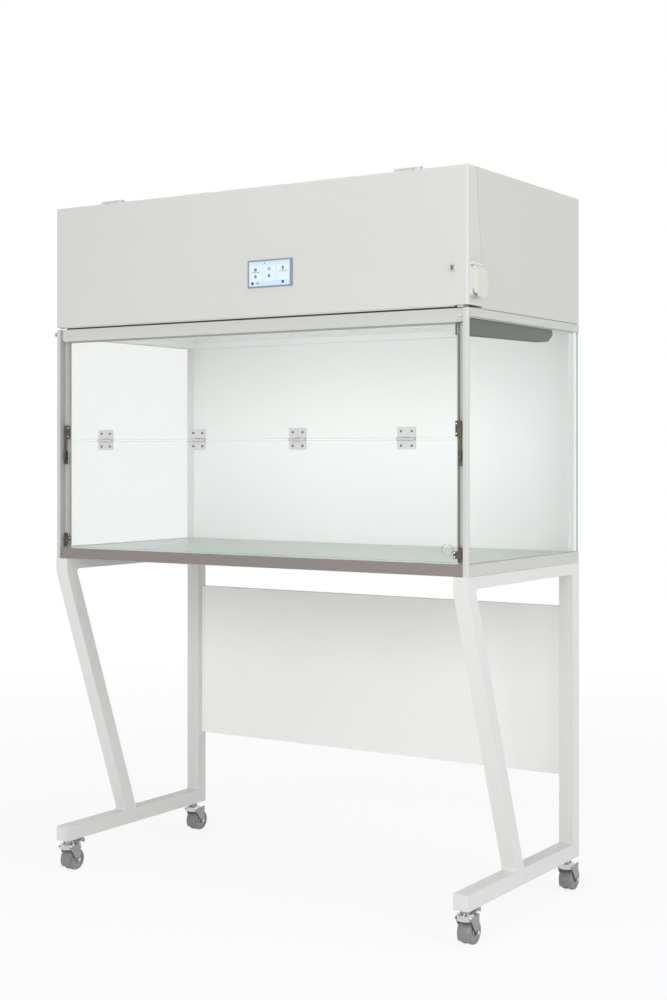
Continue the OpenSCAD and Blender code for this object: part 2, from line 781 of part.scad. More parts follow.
lamp_y = ring_front + 4;
lamp_end = lamp_y + lamp_l;
lamp_low = glass_top - lamp_h;
lamp_tube_x = lamp_in + lamp_w / 2;
lamp_tube_z = glass_top - 10 - lamp_tube_r;

// Trough that is open below, with the tube between its two solid ends
module lamp_housing() placed() color(dark_grey) difference() {
    along_x(lamp_in, lamp_in + lamp_w) polygon([
        [lamp_y, lamp_low], [lamp_end - 30, lamp_low + 8], [lamp_end, lamp_low + 26],
        [lamp_end, glass_top], [lamp_y, glass_top]
    ]);
    block([lamp_in + 3, lamp_in + lamp_w - 3], [lamp_y + 16, lamp_end - 46], [lamp_low - 1, glass_top - 6]);
    rod_y(lamp_y + 6, lamp_end - 36, lamp_tube_x, lamp_tube_z, lamp_tube_r + seat);
}

module lamp_tube() placed() color([0.95, 0.97, 1])
    rod_y(lamp_y + 6 + seat, lamp_end - 36 - seat, lamp_tube_x, lamp_tube_z, lamp_tube_r);

// ---- Front cover with its hinges, display, lock and socket ----

cover_axis_y = front + cover_axis_back;
cover_axis_z = housing_top + cover_axis_up;
cover_knuckle_r = cover_pin_r + 2.25;
bracket_half = cover_hinge_w / 2 - 15;
socket_y = front + socket_back + socket_w / 2;
socket_z = cover_bottom + socket_up;
cam_y = front + sheet + 18;

module cover_hinge_brackets() placed() color(mid_grey) for (side = [-1, 1])
    translate([side * cover_hinge_x, 0, 0]) difference() {
        union() {
            rod_x(-bracket_half, bracket_half, cover_axis_y, cover_axis_z, cover_knuckle_r);
            along_x(-bracket_half, bracket_half) polygon([
                [cover_axis_y, cover_axis_z + cover_knuckle_r],
                [front + cheek_top + 22, cover_axis_z + cover_knuckle_r],
                [front + cheek_top + 27, housing_top + 3], [front + cheek_top + 27, housing_top],
                [front + cheek_top + part_gap, housing_top],
                [front + cheek_top + part_gap, cover_axis_z - 3],
                [cover_axis_y, cover_axis_z - cover_knuckle_r + 1]
            ]);
            block([-cover_hinge_w / 2, cover_hinge_w / 2], [front + cheek_top + part_gap, front + cheek_top + 40],
                [housing_top, housing_top + 3]);
        }
        rod_x(-bracket_half - 1, bracket_half + 1, cover_axis_y, cover_axis_z, cover_pin_r + run / 2);
    }

module cover_hinge_pins() placed() color(chrome) for (side = [-1, 1])
    translate([side * cover_hinge_x, 0, 0])
        rod_x(-cover_hinge_w / 2 - 1, cover_hinge_w / 2 + 1, cover_axis_y, cover_axis_z, cover_pin_r);

module cover_lug(x0, x1) difference() {
    union() {
        rod_x(x0, x1, cover_axis_y, cover_axis_z, cover_knuckle_r);
        along_x(x0, x1) polygon([
            [cover_axis_y - cover_knuckle_r - 4, housing_top - 1],
            [cover_axis_y - cover_knuckle_r, cover_axis_z],
            [cover_axis_y + cover_knuckle_r, cover_axis_z],
            [cover_axis_y + cover_knuckle_r, housing_top - 1]
        ]);
    }
    rod_x(x0 - 1, x1 + 1, cover_axis_y, cover_axis_z, cover_pin_r + run);
}

// Plan of the cover with rounded front corners, grown inwards by t and open behind
module cover_plan(t) {
    x = half_w - corner_r;
    translate([-half_w + t, front + corner_r]) square([cabinet_w - 2 * t, cheek_bottom - corner_r + t]);
    translate([-x, front + t]) square([2 * x, cheek_bottom]);
    for (side = [-1, 1]) translate([side * x, front + corner_r]) circle(r = corner_r - t);
}

module front_cover() placed() color(pale_grey) {
    display_z = cover_bottom + display_up;
    difference() {
        translate([0, 0, cover_bottom]) linear_extrude(housing_top - cover_bottom) cover_plan(0);
        difference() {
            translate([0, 0, cover_bottom - 1]) linear_extrude(housing_top - cover_bottom - sheet + 1)
                cover_plan(sheet);
            block([-half_w + 20, half_w - 20], [front, front + 18], [cover_bottom, cover_bottom + sheet]);
        }
        along_x(-half_w - 1, half_w + 1) polygon(concat(
            cheek_line(0), [[front + cheek_bottom + 20, housing_top + 20],
            [front + cheek_bottom + 20, cover_bottom - 20]]
        ));
        block([display_x - display_w / 2 + 6, display_x + display_w / 2 - 6], [front - 1, front + sheet + 1],
            [display_z - display_h / 2 + 6, display_z + display_h / 2 - 6]);
        rod_y(front - 1, front + sheet + 1, lock_x, lock_z, lock_r - 2 + run);
        rod_x(half_w - sheet - 1, half_w + 1, socket_y, socket_z, socket_r + 3 + run);
    }
    for (side = [-1, 1]) translate([side * cover_hinge_x, 0, 0]) for (end = [-1, 1])
        cover_lug(end < 0 ? -cover_hinge_w / 2 : bracket_half + seat,
            end < 0 ? -bracket_half - seat : cover_hinge_w / 2);
}

module display_frame() placed() color(dark_grey) {
    z = cover_bottom + display_up;
    w = display_w / 2;
    h = display_h / 2;
    difference() {
        union() {
            block([display_x - w, display_x + w], [front - trim_proud, front], [z - h, z + h]);
            block([display_x - w + 6 + seat, display_x + w - 6 - seat], [front - 1, front + 16],
                [z - h + 6 + seat, z + h - 6 - seat]);
        }
        block([display_x - w + 5, display_x + w - 8], [front - trim_proud - 1, front - 0.5], [z - h + 4, z + h - 4]);
    }
}

module display_screen() placed() color(screen_blue) {
    z = cover_bottom + display_up;
    w = display_w / 2;
    h = display_h / 2;
    block([display_x - w + 5, display_x + w - 8], [front - trim_proud + 1, front - 0.5], [z - h + 4, z + h - 4]);
}

plug_r = lock_r - 4;

module lock_barrel() placed() color(chrome) difference() {
    union() {
        rod_y(front - trim_proud, front, lock_x, lock_z, lock_r);
        rod_y(front - 1, cam_y - seat, lock_x, lock_z, lock_r - 2);
    }
    rod_y(front - trim_proud - 1, cam_y, lock_x, lock_z, plug_r + run);
}

// Key plug with its cam behind the barrel; the cam points up when the cover is free
module lock_plug() placed() color(chrome) {
    difference() {
        rod_y(front - trim_proud + 0.5, cam_y + sheet, lock_x, lock_z, plug_r);
        block([lock_x - 1, lock_x + 1], [front - trim_proud - 1, front + 6], [lock_z - 4, lock_z + 4]);
    }
    block([lock_x - 6, lock_x + 6], [cam_y, cam_y + sheet], [lock_z - 6, lock_z + 30]);
}

lid_axis_x = half_w + socket_base_t + 1;
lid_axis_z = socket_z + socket_h / 2 - 5;

// Rectangle with rounded corners, given by its two ranges
module round_plan(across, up, r) {
    translate([across[0] + r, up[0]]) square([across[1] - across[0] - 2 * r, up[1] - up[0]]);
    translate([across[0], up[0] + r]) square([across[1] - across[0], up[1] - up[0] - 2 * r]);
    for (a = [across[0] + r, across[1] - r], z = [up[0] + r, up[1] - r]) translate([a, z]) circle(r = r);
}

// Socket base: frame on the cheek, round recess with two pin holes, and ears for the lid's pin
module socket_base() placed() color(cream) {
    y0 = socket_y - socket_w / 2;
    y1 = socket_y + socket_w / 2;
    z0 = socket_z - socket_h / 2;
    z1 = socket_z + socket_h / 2;
    difference() {
        union() {
            along_x(half_w, half_w + socket_base_t) round_plan([y0, y1], [z0, z1 - 10], base_round);
            along_x(half_w, half_w + socket_base_t - 5) round_plan([y0, y1], [z0, z1], base_round);
            rod_x(half_w - sheet - 22, half_w + 1, socket_y, socket_z, socket_r + 3);
        }
        rod_x(half_w - sheet - 16, half_w + socket_base_t + 1, socket_y, socket_z, socket_r);
        for (side = [-1, 1])
            rod_x(half_w - sheet - 23, half_w, socket_y + side * 9.5, socket_z, 2.5);
    }
    for (side = [-1, 1]) {
        y = socket_y + side * (socket_w / 2 - 3);
        rod_y(y - 3, y + 3, lid_axis_x, lid_axis_z, 4);
        block([half_w, lid_axis_x], [y - 3, y + 3], [lid_axis_z - 4, lid_axis_z + 4]);
    }
    rod_y(socket_y - socket_w / 2, socket_y + socket_w / 2, lid_axis_x, lid_axis_z, 1.5);
}

// Lid: a shell that bulges towards its lower edge and stands a little open there
module socket_lid() placed() color(cream) {
    face = half_w + socket_base_t + seat;
    low = socket_z - socket_h / 2 - 4;
    out = half_w + socket_reach;
    y0 = socket_y - socket_w / 2;
    y1 = socket_y + socket_w / 2;
    knuckle = [y0 + 6 + seat, y1 - 6 - seat];
    difference() {
        union() {
            rod_y(knuckle[0], knuckle[1], lid_axis_x, lid_axis_z, 4);
            intersection() {
                along_y(y0, y1) polygon([
                    [face, low], [out - 3, low], [out, low + 5], [out, low + 34], [face + 8, lid_axis_z - 7],
                    [face + 4, lid_axis_z - 5], [face, lid_axis_z - 5]
                ]);
                along_x(face - 1, out + 1) round_plan([y0, y1], [low, lid_axis_z + 6], lid_round);
            }
            along_y(knuckle[0], knuckle[1]) polygon([
                [face, lid_axis_z - 6], [face + 7.5, lid_axis_z - 6], [lid_axis_x + 4, lid_axis_z],
                [lid_axis_x - 1, lid_axis_z]
            ]);
        }
        along_y(y0 + 3, y1 - 3) polygon([
            [face - 1, low - 1], [out - 4, low - 1], [out - 3, low + 8], [out - 3, low + 32],
            [face + 3, lid_axis_z - 12], [face - 1, lid_axis_z - 12]
        ]);
        along_y(y0 - 1, y1 + 1) polygon([[face - 1, low - 1], [out - 5, low - 1], [face - 1, low + 26]]);
        rod_y(y0, y1, lid_axis_x, lid_axis_z, 1.5 + run);
    }
}

// ---- Window: pivots, upper sash and lower sash ----

axis_y = front + axis_back;
axis_z = frame_top - axis_drop;
pane_y = front + pane_back;
pane_x = strip_x + sheet - 1;
lower_z = worktop_z + pane_foot;
split_z = lower_z + lower_pane_h + pane_gap / 2;
upper_z = split_z + pane_gap / 2;
rail_x = post_x - 2;
knuckle_y = pane_y - knuckle_r - 0.5;
leaf_t = 1.5;

module sash_pivot_pins() placed() color(mid_grey) {
    rod_x(rail_x - 6, half_w - 1, axis_y, axis_z, pivot_r);
    rod_x(-half_w - knob_reach + 1, -rail_x + 6, axis_y, axis_z, pivot_r);
    difference() {
        rod_x(-half_w - knob_reach, -half_w - 2, axis_y, axis_z, 6);
        for (a = [0 : 45 : 315]) translate([0, axis_y + 6.6 * cos(a), axis_z + 6.6 * sin(a)])
            rod_x(-half_w - knob_reach - 1, -half_w - 1, 0, 0, 1.2);
    }
}

// Block on the plenum frame over the right end of the sash, notched for the cover's lower fold
module sash_stop_block() placed() color(cream) difference() {
    block([post_x - 18, post_x - 2], [front + 5, ring_front + 10], [casing_bottom, cover_bottom + 6]);
    block([0, half_w - 19], [front, front + 19], [cover_bottom - 1, cover_bottom + 7]);
}

module sash_top_rail() placed() color(pale_grey) difference() {
    union() {
        along_y(pane_y - rail_t, pane_y) difference() {
            translate([-rail_x, frame_top - rail_h]) square([2 * rail_x, rail_h]);
            for (side = [-1, 1]) translate([side * rail_x, frame_top - rail_h]) difference() {
                translate([side > 0 ? -8 : -1, -1]) square([9, 9]);
                translate([-side * 8, 8]) circle(r = 8);
            }
        }
        both_sides() along_x(rail_x - 3, rail_x) {
            translate([axis_y, axis_z]) circle(r = pivot_r + 3);
            translate([pane_y - rail_t / 2, axis_z - pivot_r - 3])
                square([axis_y - pane_y + rail_t / 2, 2 * pivot_r + 6]);
        }
    }
    rod_x(-rail_x - 1, rail_x + 1, axis_y, axis_z, pivot_r + run);
}

module upper_pane() placed() color(clear)
    block([-pane_x, pane_x], [pane_y, pane_y + pane_t], [upper_z, axis_z + 1]);

module lower_pane() placed() color(clear) difference() {
    block([-pane_x, pane_x], [pane_y, pane_y + pane_t], [lower_z, split_z - pane_gap / 2]);
    rod_y(pane_y - 1, pane_y + pane_t + 1, pane_x - finger_in, lower_z + finger_in, finger_r);
}

module each_hinge() for (i = [0 : hinge_n - 1]) translate([(i - (hinge_n - 1) / 2) * hinge_pitch, 0, 0]) children();

// One leaf with knuckles over the spans given; up is 1 for the upper leaf and -1 for the lower one
module leaf(spans, other, up, leaf_h) difference() {
    union() {
        block([-hinge_w / 2, hinge_w / 2], [pane_y - leaf_t, pane_y],
            up > 0 ? [split_z + 1, split_z + leaf_h] : [split_z - leaf_h, split_z - 1]);
        for (s = spans) {
            rod_x(s[0], s[1], knuckle_y, split_z, knuckle_r);
            block([s[0], s[1]], [knuckle_y, pane_y],
                up > 0 ? [split_z + 1, split_z + knuckle_r] : [split_z - knuckle_r, split_z - 1]);
        }
    }
    for (s = other) block([s[0] - seat, s[1] + seat], [knuckle_y, pane_y + 1],
        [split_z - knuckle_r - 0.8, split_z + knuckle_r + 0.8]);
    rod_x(-hinge_w, hinge_w, knuckle_y, split_z, hinge_pin_r + (up > 0 ? run / 2 : run));
}

third = hinge_w / 6;
outer_spans = [[-hinge_w / 2, -third - seat], [third + seat, hinge_w / 2]];
inner_span = [[-third, third]];

module window_hinge_upper_leaves() placed() color(pale_grey) each_hinge()
    leaf(outer_spans, inner_span, 1, upper_leaf_h);

module window_hinge_lower_leaves() placed() color(pale_grey) each_hinge()
    leaf(inner_span, outer_spans, -1, lower_leaf_h);

module window_hinge_pins() placed() color(steel) each_hinge()
    rod_x(-hinge_w / 2 - 0.5, hinge_w / 2 + 0.5, knuckle_y, split_z, hinge_pin_r);

catch_x = post_x - 11;
catch_mid_z = worktop_z + catch_mid_up;
catch_low_z = worktop_z + catch_low_up;
mouth = 12;

module each_catch() both_sides() for (z = [catch_mid_z, catch_low_z]) translate([catch_x, strip_y, z]) children();

module catch_body() difference() {
    block([-7, 7], [-catch_d, 0], [-catch_h / 2, catch_h / 2]);
    block([-4, 4], [-catch_d - 1, -1], [-mouth / 2, mouth / 2]);
    for (up = [-1, 1]) rod_z(up > 0 ? mouth / 2 - 1 : -mouth / 2 - 5, up > 0 ? mouth / 2 + 5 : -mouth / 2 + 1,
        0, -catch_d + 3, ball_r + 0.1);
}

module catch_bodies() placed() color(brass) each_catch() catch_body();

module catch_balls() placed() color(chrome) each_catch() for (up = [-1, 1])
    translate([0, -catch_d + 3, up * (mouth / 2 + 0.5)]) sphere(r = ball_r);

// Striker: plate on the pane's front with a tongue that enters the catch's mouth
module tongue(z) {
    y0 = pane_y - 2;
    block([catch_x - 2, catch_x + 2], [y0, strip_y - 2], [z - 2.5, z + 2.5]);
}

module upper_strikers() placed() color(steel) both_sides() {
    z0 = upper_z + 3;
    block([pane_x - striker_grip, catch_x + 3], [pane_y - 2, pane_y], [z0, z0 + striker_h]);
    block([catch_x - 3, catch_x + 3], [pane_y - 2, pane_y], [catch_mid_z - 5, z0 + 1]);
    tongue(catch_mid_z);
}

module lower_strikers() placed() color(brass) both_sides() {
    block([pane_x - striker_grip - 6, catch_x + 3], [pane_y - 2, pane_y], [catch_low_z - 9, catch_low_z + 9]);
    tongue(catch_low_z);
}

side_frame_left();
side_frame_right();
rail_end_caps();
modesty_panel();
caster_stems();
at_caster(-1, caster_front_y) color(chrome) caster_fork(true);  // caster_fork_fl
at_caster(1, caster_front_y) color(chrome) caster_fork(true);  // caster_fork_fr
at_caster(-1, caster_rear_y) color(chrome) caster_fork(false);  // caster_fork_rl
at_caster(1, caster_rear_y) color(chrome) caster_fork(false);  // caster_fork_rr
at_caster(-1, caster_front_y) color(mid_grey) caster_wheels();  // caster_wheels_fl
at_caster(1, caster_front_y) color(mid_grey) caster_wheels();  // caster_wheels_fr
at_caster(-1, caster_rear_y) color(mid_grey) caster_wheels();  // caster_wheels_rl
at_caster(1, caster_rear_y) color(mid_grey) caster_wheels();  // caster_wheels_rr
at_caster(-1, caster_front_y) color(steel) brake_pedal();  // brake_pedal_fl
at_caster(1, caster_front_y) color(steel) brake_pedal();  // brake_pedal_fr
base_frame();
worktop();
front_post_left();
front_post_right();
side_glass_left();
side_glass_right();
back_panel();
plenum_frame();
housing_casing();
plenum_front_panel();
filter_frame();
filter_media();
diffuser();
inlet_grille();
prefilter_pad();
fan_deck();
fan_motor();
fan_impeller();
control_box();
lamp_housing();
lamp_tube();
cover_hinge_brackets();
cover_hinge_pins();
front_cover();
display_frame();
display_screen();
lock_barrel();
lock_plug();
socket_base();
socket_lid();
sash_pivot_pins();
sash_stop_block();
catch_bodies();
catch_balls();
sash_top_rail();
upper_pane();
window_hinge_upper_leaves();
window_hinge_pins();
upper_strikers();
lower_pane();
window_hinge_lower_leaves();
lower_strikers();
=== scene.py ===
"""Laminar flow hood: finishes, rounded edges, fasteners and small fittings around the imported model."""

import math

import bmesh
import bpy
import numpy as np
from bpy.props import FloatProperty, FloatVectorProperty, IntProperty, PointerProperty
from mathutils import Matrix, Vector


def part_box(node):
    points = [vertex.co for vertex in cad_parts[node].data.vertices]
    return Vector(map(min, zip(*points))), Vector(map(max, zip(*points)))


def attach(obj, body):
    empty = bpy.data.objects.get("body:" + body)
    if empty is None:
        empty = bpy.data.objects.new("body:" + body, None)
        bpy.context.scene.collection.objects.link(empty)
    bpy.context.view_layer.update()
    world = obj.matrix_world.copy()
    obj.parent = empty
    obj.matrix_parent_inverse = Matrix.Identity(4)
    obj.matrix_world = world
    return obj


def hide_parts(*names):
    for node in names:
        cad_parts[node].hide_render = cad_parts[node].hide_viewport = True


bl_info = {
    "name": "Laminar flow hood",
    "version": (1, 0, 0),
    "blender": (4, 5, 0),
    "location": "3D View > Sidebar > Hood",
    "description": "Builds the finishes, fasteners and fittings of a laminar flow hood on its stand",
    "category": "Object",
}

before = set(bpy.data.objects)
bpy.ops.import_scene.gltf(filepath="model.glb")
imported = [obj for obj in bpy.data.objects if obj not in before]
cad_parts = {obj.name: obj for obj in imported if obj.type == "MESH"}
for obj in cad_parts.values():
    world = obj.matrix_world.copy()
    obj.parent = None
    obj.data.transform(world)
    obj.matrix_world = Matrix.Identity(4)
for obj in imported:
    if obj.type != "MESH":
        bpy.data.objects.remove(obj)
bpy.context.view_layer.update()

# Directions, and the lines of the cabinet from which new pieces are placed
X, Y, Z = (1, 0, 0), (0, 1, 0), (0, 0, 1)
LEFTWARD, FORWARD = (-1, 0, 0), (0, -1, 0)
MID = (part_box("base_frame")[0].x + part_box("base_frame")[1].x) / 2
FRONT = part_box("worktop")[0].y
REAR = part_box("base_frame")[1].y
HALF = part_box("base_frame")[1].x - MID
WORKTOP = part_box("worktop")[1].z


# ---- Sizes and colours that a user may change ----


def number(name, default, description, **limits):
    return FloatProperty(name=name, description=description, default=default, **limits)


def length(name, default, description):
    return number(name, default, description, min=0.0, unit="LENGTH")


def colour(name, tint, description):
    return FloatVectorProperty(
        name=name, description=description, default=(*tint, 1.0), size=4, min=0.0, max=1.0, subtype="COLOR"
    )


def paint(level, warmth=0.0):
    """A near-grey colour; warmth takes that much away from its blue."""
    return level, level, level * (1 - warmth)


class HoodSizes(bpy.types.PropertyGroup):
    """Sizes of the edges and fasteners"""

    tube_edge: length("Tube edge", 0.003, "Radius of the edges of the stand tubes")
    sheet_edge: length("Sheet edge", 0.0006, "Radius of the cut edges of the folded sheet")
    fold_edge: length("Fold edge", 0.0022, "Outer radius of the folds of the housing")
    cover_edge: length("Cover edge", 0.0042, "Outer radius of the folds along the top of the cover")
    screw: length("Screw head", 0.0032, "Radius of the small screw heads")
    bolt: length("Bolt head", 0.0055, "Radius of the bolt heads")
    hinge_pitch: length("Hinge pitch", 0.318, "Distance between two window hinges")
    cover_hinge: length("Cover hinge", 0.470, "Distance of a cover hinge from the middle")


class HoodColours(bpy.types.PropertyGroup):
    """Colours of the finishes"""

    stand: colour("Stand", paint(0.735, 0.012), "Paint of the stand")
    # Painted light: the panel paint is set lighter than the stand paint to make up for the shade under the
    # cabinet.
    panel: colour("Panel", paint(0.92, 0.010), "Paint of the modesty panel")
    cover: colour("Cover", paint(0.635, 0.015), "Paint of the front cover")
    casing: colour("Casing", paint(0.610, 0.035), "Paint of the housing behind the cover")
    rail: colour("Rails", paint(0.585, 0.02), "Paint of the frames, the posts and the sash rail")
    inside: colour("Inside", paint(0.92, 0.008), "Paint of the back wall and the ceiling")
    steel: colour("Worktop", (0.55, 0.59, 0.57), "Steel of the work surface")
    # The apron is the worktop's steel, made darker and browner as a painted reflection of dark surroundings.
    apron: colour("Apron", (0.275, 0.247, 0.236), "Steel of the folded front edge")
    chrome: colour("Chrome", (0.60, 0.605, 0.61), "Plated hardware")
    zinc: colour("Zinc", (0.47, 0.48, 0.47), "Plated sheet inside the housing")
    tyre: colour("Tyre", (0.25, 0.25, 0.246), "Tread of the wheels")
    glass: colour("Glass", (0.46, 0.54, 0.49), "Tint of the glass faces")
    glass_edge: colour("Glass edge", (0.46, 0.60, 0.54), "Tint of the polished glass edges")
    lamp: colour("Lamp", (0.072, 0.078, 0.064), "Paint of the lamp housing")
    bronze: colour("Catches", (0.105, 0.098, 0.082), "Aged metal of the catches and strikers")
    cream: colour("Plastic", (0.66, 0.66, 0.60), "Moulded plastic of the socket and the stop block")
    bezel: colour("Bezel", (0.24, 0.27, 0.29), "Frame of the display")
    screen: colour("Screen", (0.60, 0.76, 0.97), "Lit background of the display")
    # Partly painted shade: the dark seals on the posts and under the sash rail stand for real seals and for
    # the shade there.
    seal: colour("Window seal", (0.30, 0.315, 0.275), "Soft seal on the posts")


class HoodStage(bpy.types.PropertyGroup):
    """Light and camera"""

    ambient: number("Ambient", 0.45, "Strength of the even light", min=0.0)
    key: number("Key lamp", 165.0, "Power of the large lamp at the front", min=0.0)
    fill: number("Side lamp", 86.0, "Power of the lamp at the right", min=0.0)
    top: number("Top lamp", 50.0, "Power of the lamp above", min=0.0)
    chamber: number("Chamber lamp", 1.15, "Power of the soft lamp inside the window", min=0.0)
    azimuth: number("Azimuth", 33.29, "Camera's turn to the right of the front, in degrees")
    distance: length("Distance", 4.4174, "Distance of the camera from the middle of the cabinet")
    height: length("Height", 1.1748, "Height of the camera above the floor")
    lens: number("Lens", 38.513, "Focal length in millimetres")
    shift_x: number("Shift X", 0.0211, "Sideways shift of the frame")
    shift_y: number("Shift Y", -0.0469, "Upward shift of the frame")
    floor: IntProperty(name="Floor size", description="Half width of the floor in metres", default=40, min=5)


def sizes():
    return bpy.context.scene.hood_sizes


def colours():
    return bpy.context.scene.hood_colours


# ---- Shader maths ----


def arithmetic(operation, swapped=False):
    """A method that adds a Math node for the operation, with its two values swapped where asked."""
    def method(self, other):
        values = {0: other, 1: self} if swapped else {0: self, 1: other}
        return self.shader.node("Math", values, operation=operation)

    return method


class Wire:
    """One output of a shader node; arithmetic on it adds Math nodes."""

    def __init__(self, shader, socket):
        self.shader = shader
        self.socket = socket

    __add__ = __radd__ = arithmetic("ADD")
    __sub__, __rsub__ = arithmetic("SUBTRACT"), arithmetic("SUBTRACT", swapped=True)
    __mul__ = __rmul__ = arithmetic("MULTIPLY")
    __truediv__ = arithmetic("DIVIDE")
    __pow__ = arithmetic("POWER")

    def clamped(self):
        """The value, kept between 0 and 1."""
        return self.shader.node("Clamp", {0: self})

    def above(self, edge, width):
        """0 below edge - width / 2, 1 above edge + width / 2, and a straight rise between."""
        return ((self - edge) / width + 0.5).clamped()


class Shader:
    """A node tree built by expressions."""

    def __init__(self, tree):
        self.tree = tree

    def node(self, kind, inputs=None, output=0, **settings):
        """Adds a node: its settings first, then values or links for its sockets."""
        made = self.tree.nodes.new("ShaderNode" + kind)
        for key, value in settings.items():
            setattr(made, key, value)
        for key, value in (inputs or {}).items():
            self.feed(made.inputs[key], value)
        return Wire(self, made.outputs[output])

    def feed(self, socket, value):
        if isinstance(value, Wire):
            self.tree.links.new(value.socket, socket)
        else:
            socket.default_value = value

    def spot(self):
        """Object coordinates in metres."""
        return self.node("TexCoord", output="Object")

    def place(self, stretch=(1.0, 1.0, 1.0)):
        """Object coordinates, multiplied by stretch."""
        return self.node("Mapping", {"Vector": self.spot(), "Scale": stretch})

    def axis(self, index):
        """One of the object coordinates."""
        return self.node("SeparateXYZ", {0: self.spot()}, index)

    def noise(self, scale, detail=2.0, roughness=0.5, stretch=(1.0, 1.0, 1.0)):
        """Cloudy noise with about scale cells to the metre."""
        inputs = {"Vector": self.place(stretch), "Scale": scale, "Detail": detail, "Roughness": roughness}
        return self.node("TexNoise", inputs)

    def blend(self, factor, low, high):
        """A colour between low and high."""
        return self.node("Mix", {"Factor": factor, 6: low, 7: high}, 2, data_type="RGBA")

    def tones(self, factor, tint, low, high):
        """The tint, between low and high times as bright."""
        return self.blend(factor, shaded(tint, low), shaded(tint, high))

    def shown(self):
        """1 for the rays that the camera, a mirror or a glass sees, 0 for the light that falls on things."""
        kinds = ("Is Camera Ray", "Is Glossy Ray", "Is Transmission Ray")
        rays = [self.node("LightPath", output=kind) for kind in kinds]
        return (rays[0] + rays[1] + rays[2]).clamped()


class Finish(Shader):
    """A material with one Principled node."""

    def __init__(self, name):
        self.material = bpy.data.materials.new(name)
        self.material.use_nodes = True
        super().__init__(self.material.node_tree)
        self.principled = self.tree.nodes["Principled BSDF"]

    def relief(self, height, depth):
        """Bump of that depth in metres."""
        bump = self.node("Bump", {"Strength": 1.0, "Distance": depth, "Height": height})
        self.feed(self.principled.inputs["Normal"], bump)

    def surface(self, **values):
        """Feeds the Principled node's sockets; underscores stand for spaces."""
        for key, value in values.items():
            self.feed(self.principled.inputs[key.replace("_", " ")], value)
        return self.material


def shaded(tint, factor):
    """The colour made darker or lighter by factor, and opaque."""
    return (*(min(1.0, c * factor) for c in tint[:3]), 1.0)


def powder_coat(name, tint, grain=520.0, depth=0.00012, gloss=0.44, scuffs=0.0):
    """Powder coat: fine pebbled relief, slow drift in tone, and scuffed low edges where asked."""
    s = Finish(name)
    pebbles = s.noise(grain, 1.0)
    cloud = s.noise(2.6, 3.0)
    specks = s.noise(1400.0, 0.0).above(0.72, 0.05)
    tone = s.tones(cloud, tint, 0.965, 1.025)
    tone = s.blend(specks * 0.18, tone, shaded(tint, 0.80))
    roughness = gloss + 0.10 * (cloud - 0.5) + 0.10 * (pebbles - 0.5)
    if scuffs:
        rail_top = 0.118
        low = 1.0 - s.axis(2).above(rail_top, 0.05)
        rubs = s.noise(34.0, 6.0, 0.7).above(0.60, 0.06) * low * scuffs
        tone = s.blend(rubs, tone, shaded(tint, 0.72))
        roughness = roughness + 0.2 * rubs
    s.relief(pebbles, depth)
    return s.surface(Base_Color=tone, Roughness=roughness)


def brushed(name, tint, gloss=0.30, streaks=900.0):
    """Brushed steel: streaks drawn out along X, with fine scratches and a cloudy polish."""
    s = Finish(name)
    drawn = (0.012, 1.0, 1.0)
    lines = s.noise(streaks, 3.0, 0.65, drawn)
    bands = s.noise(90.0, 2.0, 0.5, drawn)
    cloud = s.noise(4.0, 3.0)
    tone = s.tones(lines, tint, 0.82, 1.15)
    tone = s.blend(bands * 0.5, tone, shaded(tint, 1.06))
    roughness = gloss + 0.16 * (lines - 0.5) + 0.14 * (cloud - 0.5)
    s.relief(lines, 0.00002)
    return s.surface(Base_Color=tone, Metallic=1.0, Roughness=roughness)


def plated(name, tint, gloss=0.16, mottle=0.06):
    """Plated metal: polished, with faint clouds in its polish and hairline scratches."""
    s = Finish(name)
    cloud = s.noise(60.0, 3.0)
    hair = s.noise(700.0, 2.0, 0.6, (0.05, 1.0, 0.3))
    tone = s.tones(cloud, tint, 1 - mottle, 1 + mottle)
    roughness = gloss + 0.10 * (cloud - 0.5) + 0.06 * (hair - 0.5)
    s.relief(hair, 0.000008)
    return s.surface(Base_Color=tone, Metallic=1.0, Roughness=roughness)


def moulded(name, tint, gloss, depth=0.00005):
    """Moulded plastic: even colour with a fine spark-eroded grain."""
    s = Finish(name)
    fine = s.noise(900.0, 2.0)
    cloud = s.noise(25.0, 2.0)
    tone = s.tones(cloud, tint, 0.95, 1.04)
    s.relief(fine, depth)
    return s.surface(Base_Color=tone, Roughness=gloss + 0.12 * (fine - 0.5))


def tread_rubber(name, tint):
    """Grey rubber: dull, dusty where it rolls, with a fine pitted skin."""
    s = Finish(name)
    pits = s.noise(650.0, 3.0, 0.6)
    dust = s.noise(45.0, 4.0, 0.65)
    tone = s.tones(dust.above(0.5, 0.4), tint, 0.85, 1.3)
    s.relief(pits, 0.00010)
    return s.surface(Base_Color=tone, Roughness=0.62 + 0.2 * (dust - 0.5))


def glass_face(name, tint):
    """Clear sheet glass: nearly open face on and mirror-like at a glance, the same from both sides."""
    s = Finish(name)
    glance = s.node("LayerWeight", {"Blend": 0.5}, "Facing")
    smear = s.noise(5.0, 4.0, 0.6).above(0.62, 0.2)
    face_on, at_edge = 0.056, 0.55
    alpha = face_on + at_edge * glance ** 5 + 0.005 * smear
    return s.surface(Base_Color=tint, Roughness=0.02 + 0.05 * smear, IOR=1.45, Alpha=alpha)


def glass_rim(name, tint):
    """Polished glass edge: the green of the glass seen along its depth."""
    s = Finish(name)
    drift = s.noise(30.0, 2.0)
    tone = s.tones(drift, tint, 0.9, 1.15)
    return s.surface(Base_Color=tone, Roughness=0.12 + 0.08 * drift, IOR=1.45, Alpha=0.82)


def fibre(name, tint, scale=420.0, depth=0.0003):
    """Fibrous filter paper or padding: matted threads."""
    s = Finish(name)
    threads = s.noise(scale, 5.0, 0.75)
    tone = s.tones(threads, tint, 0.80, 1.08)
    s.relief(threads, depth)
    return s.surface(Base_Color=tone, Roughness=0.9)


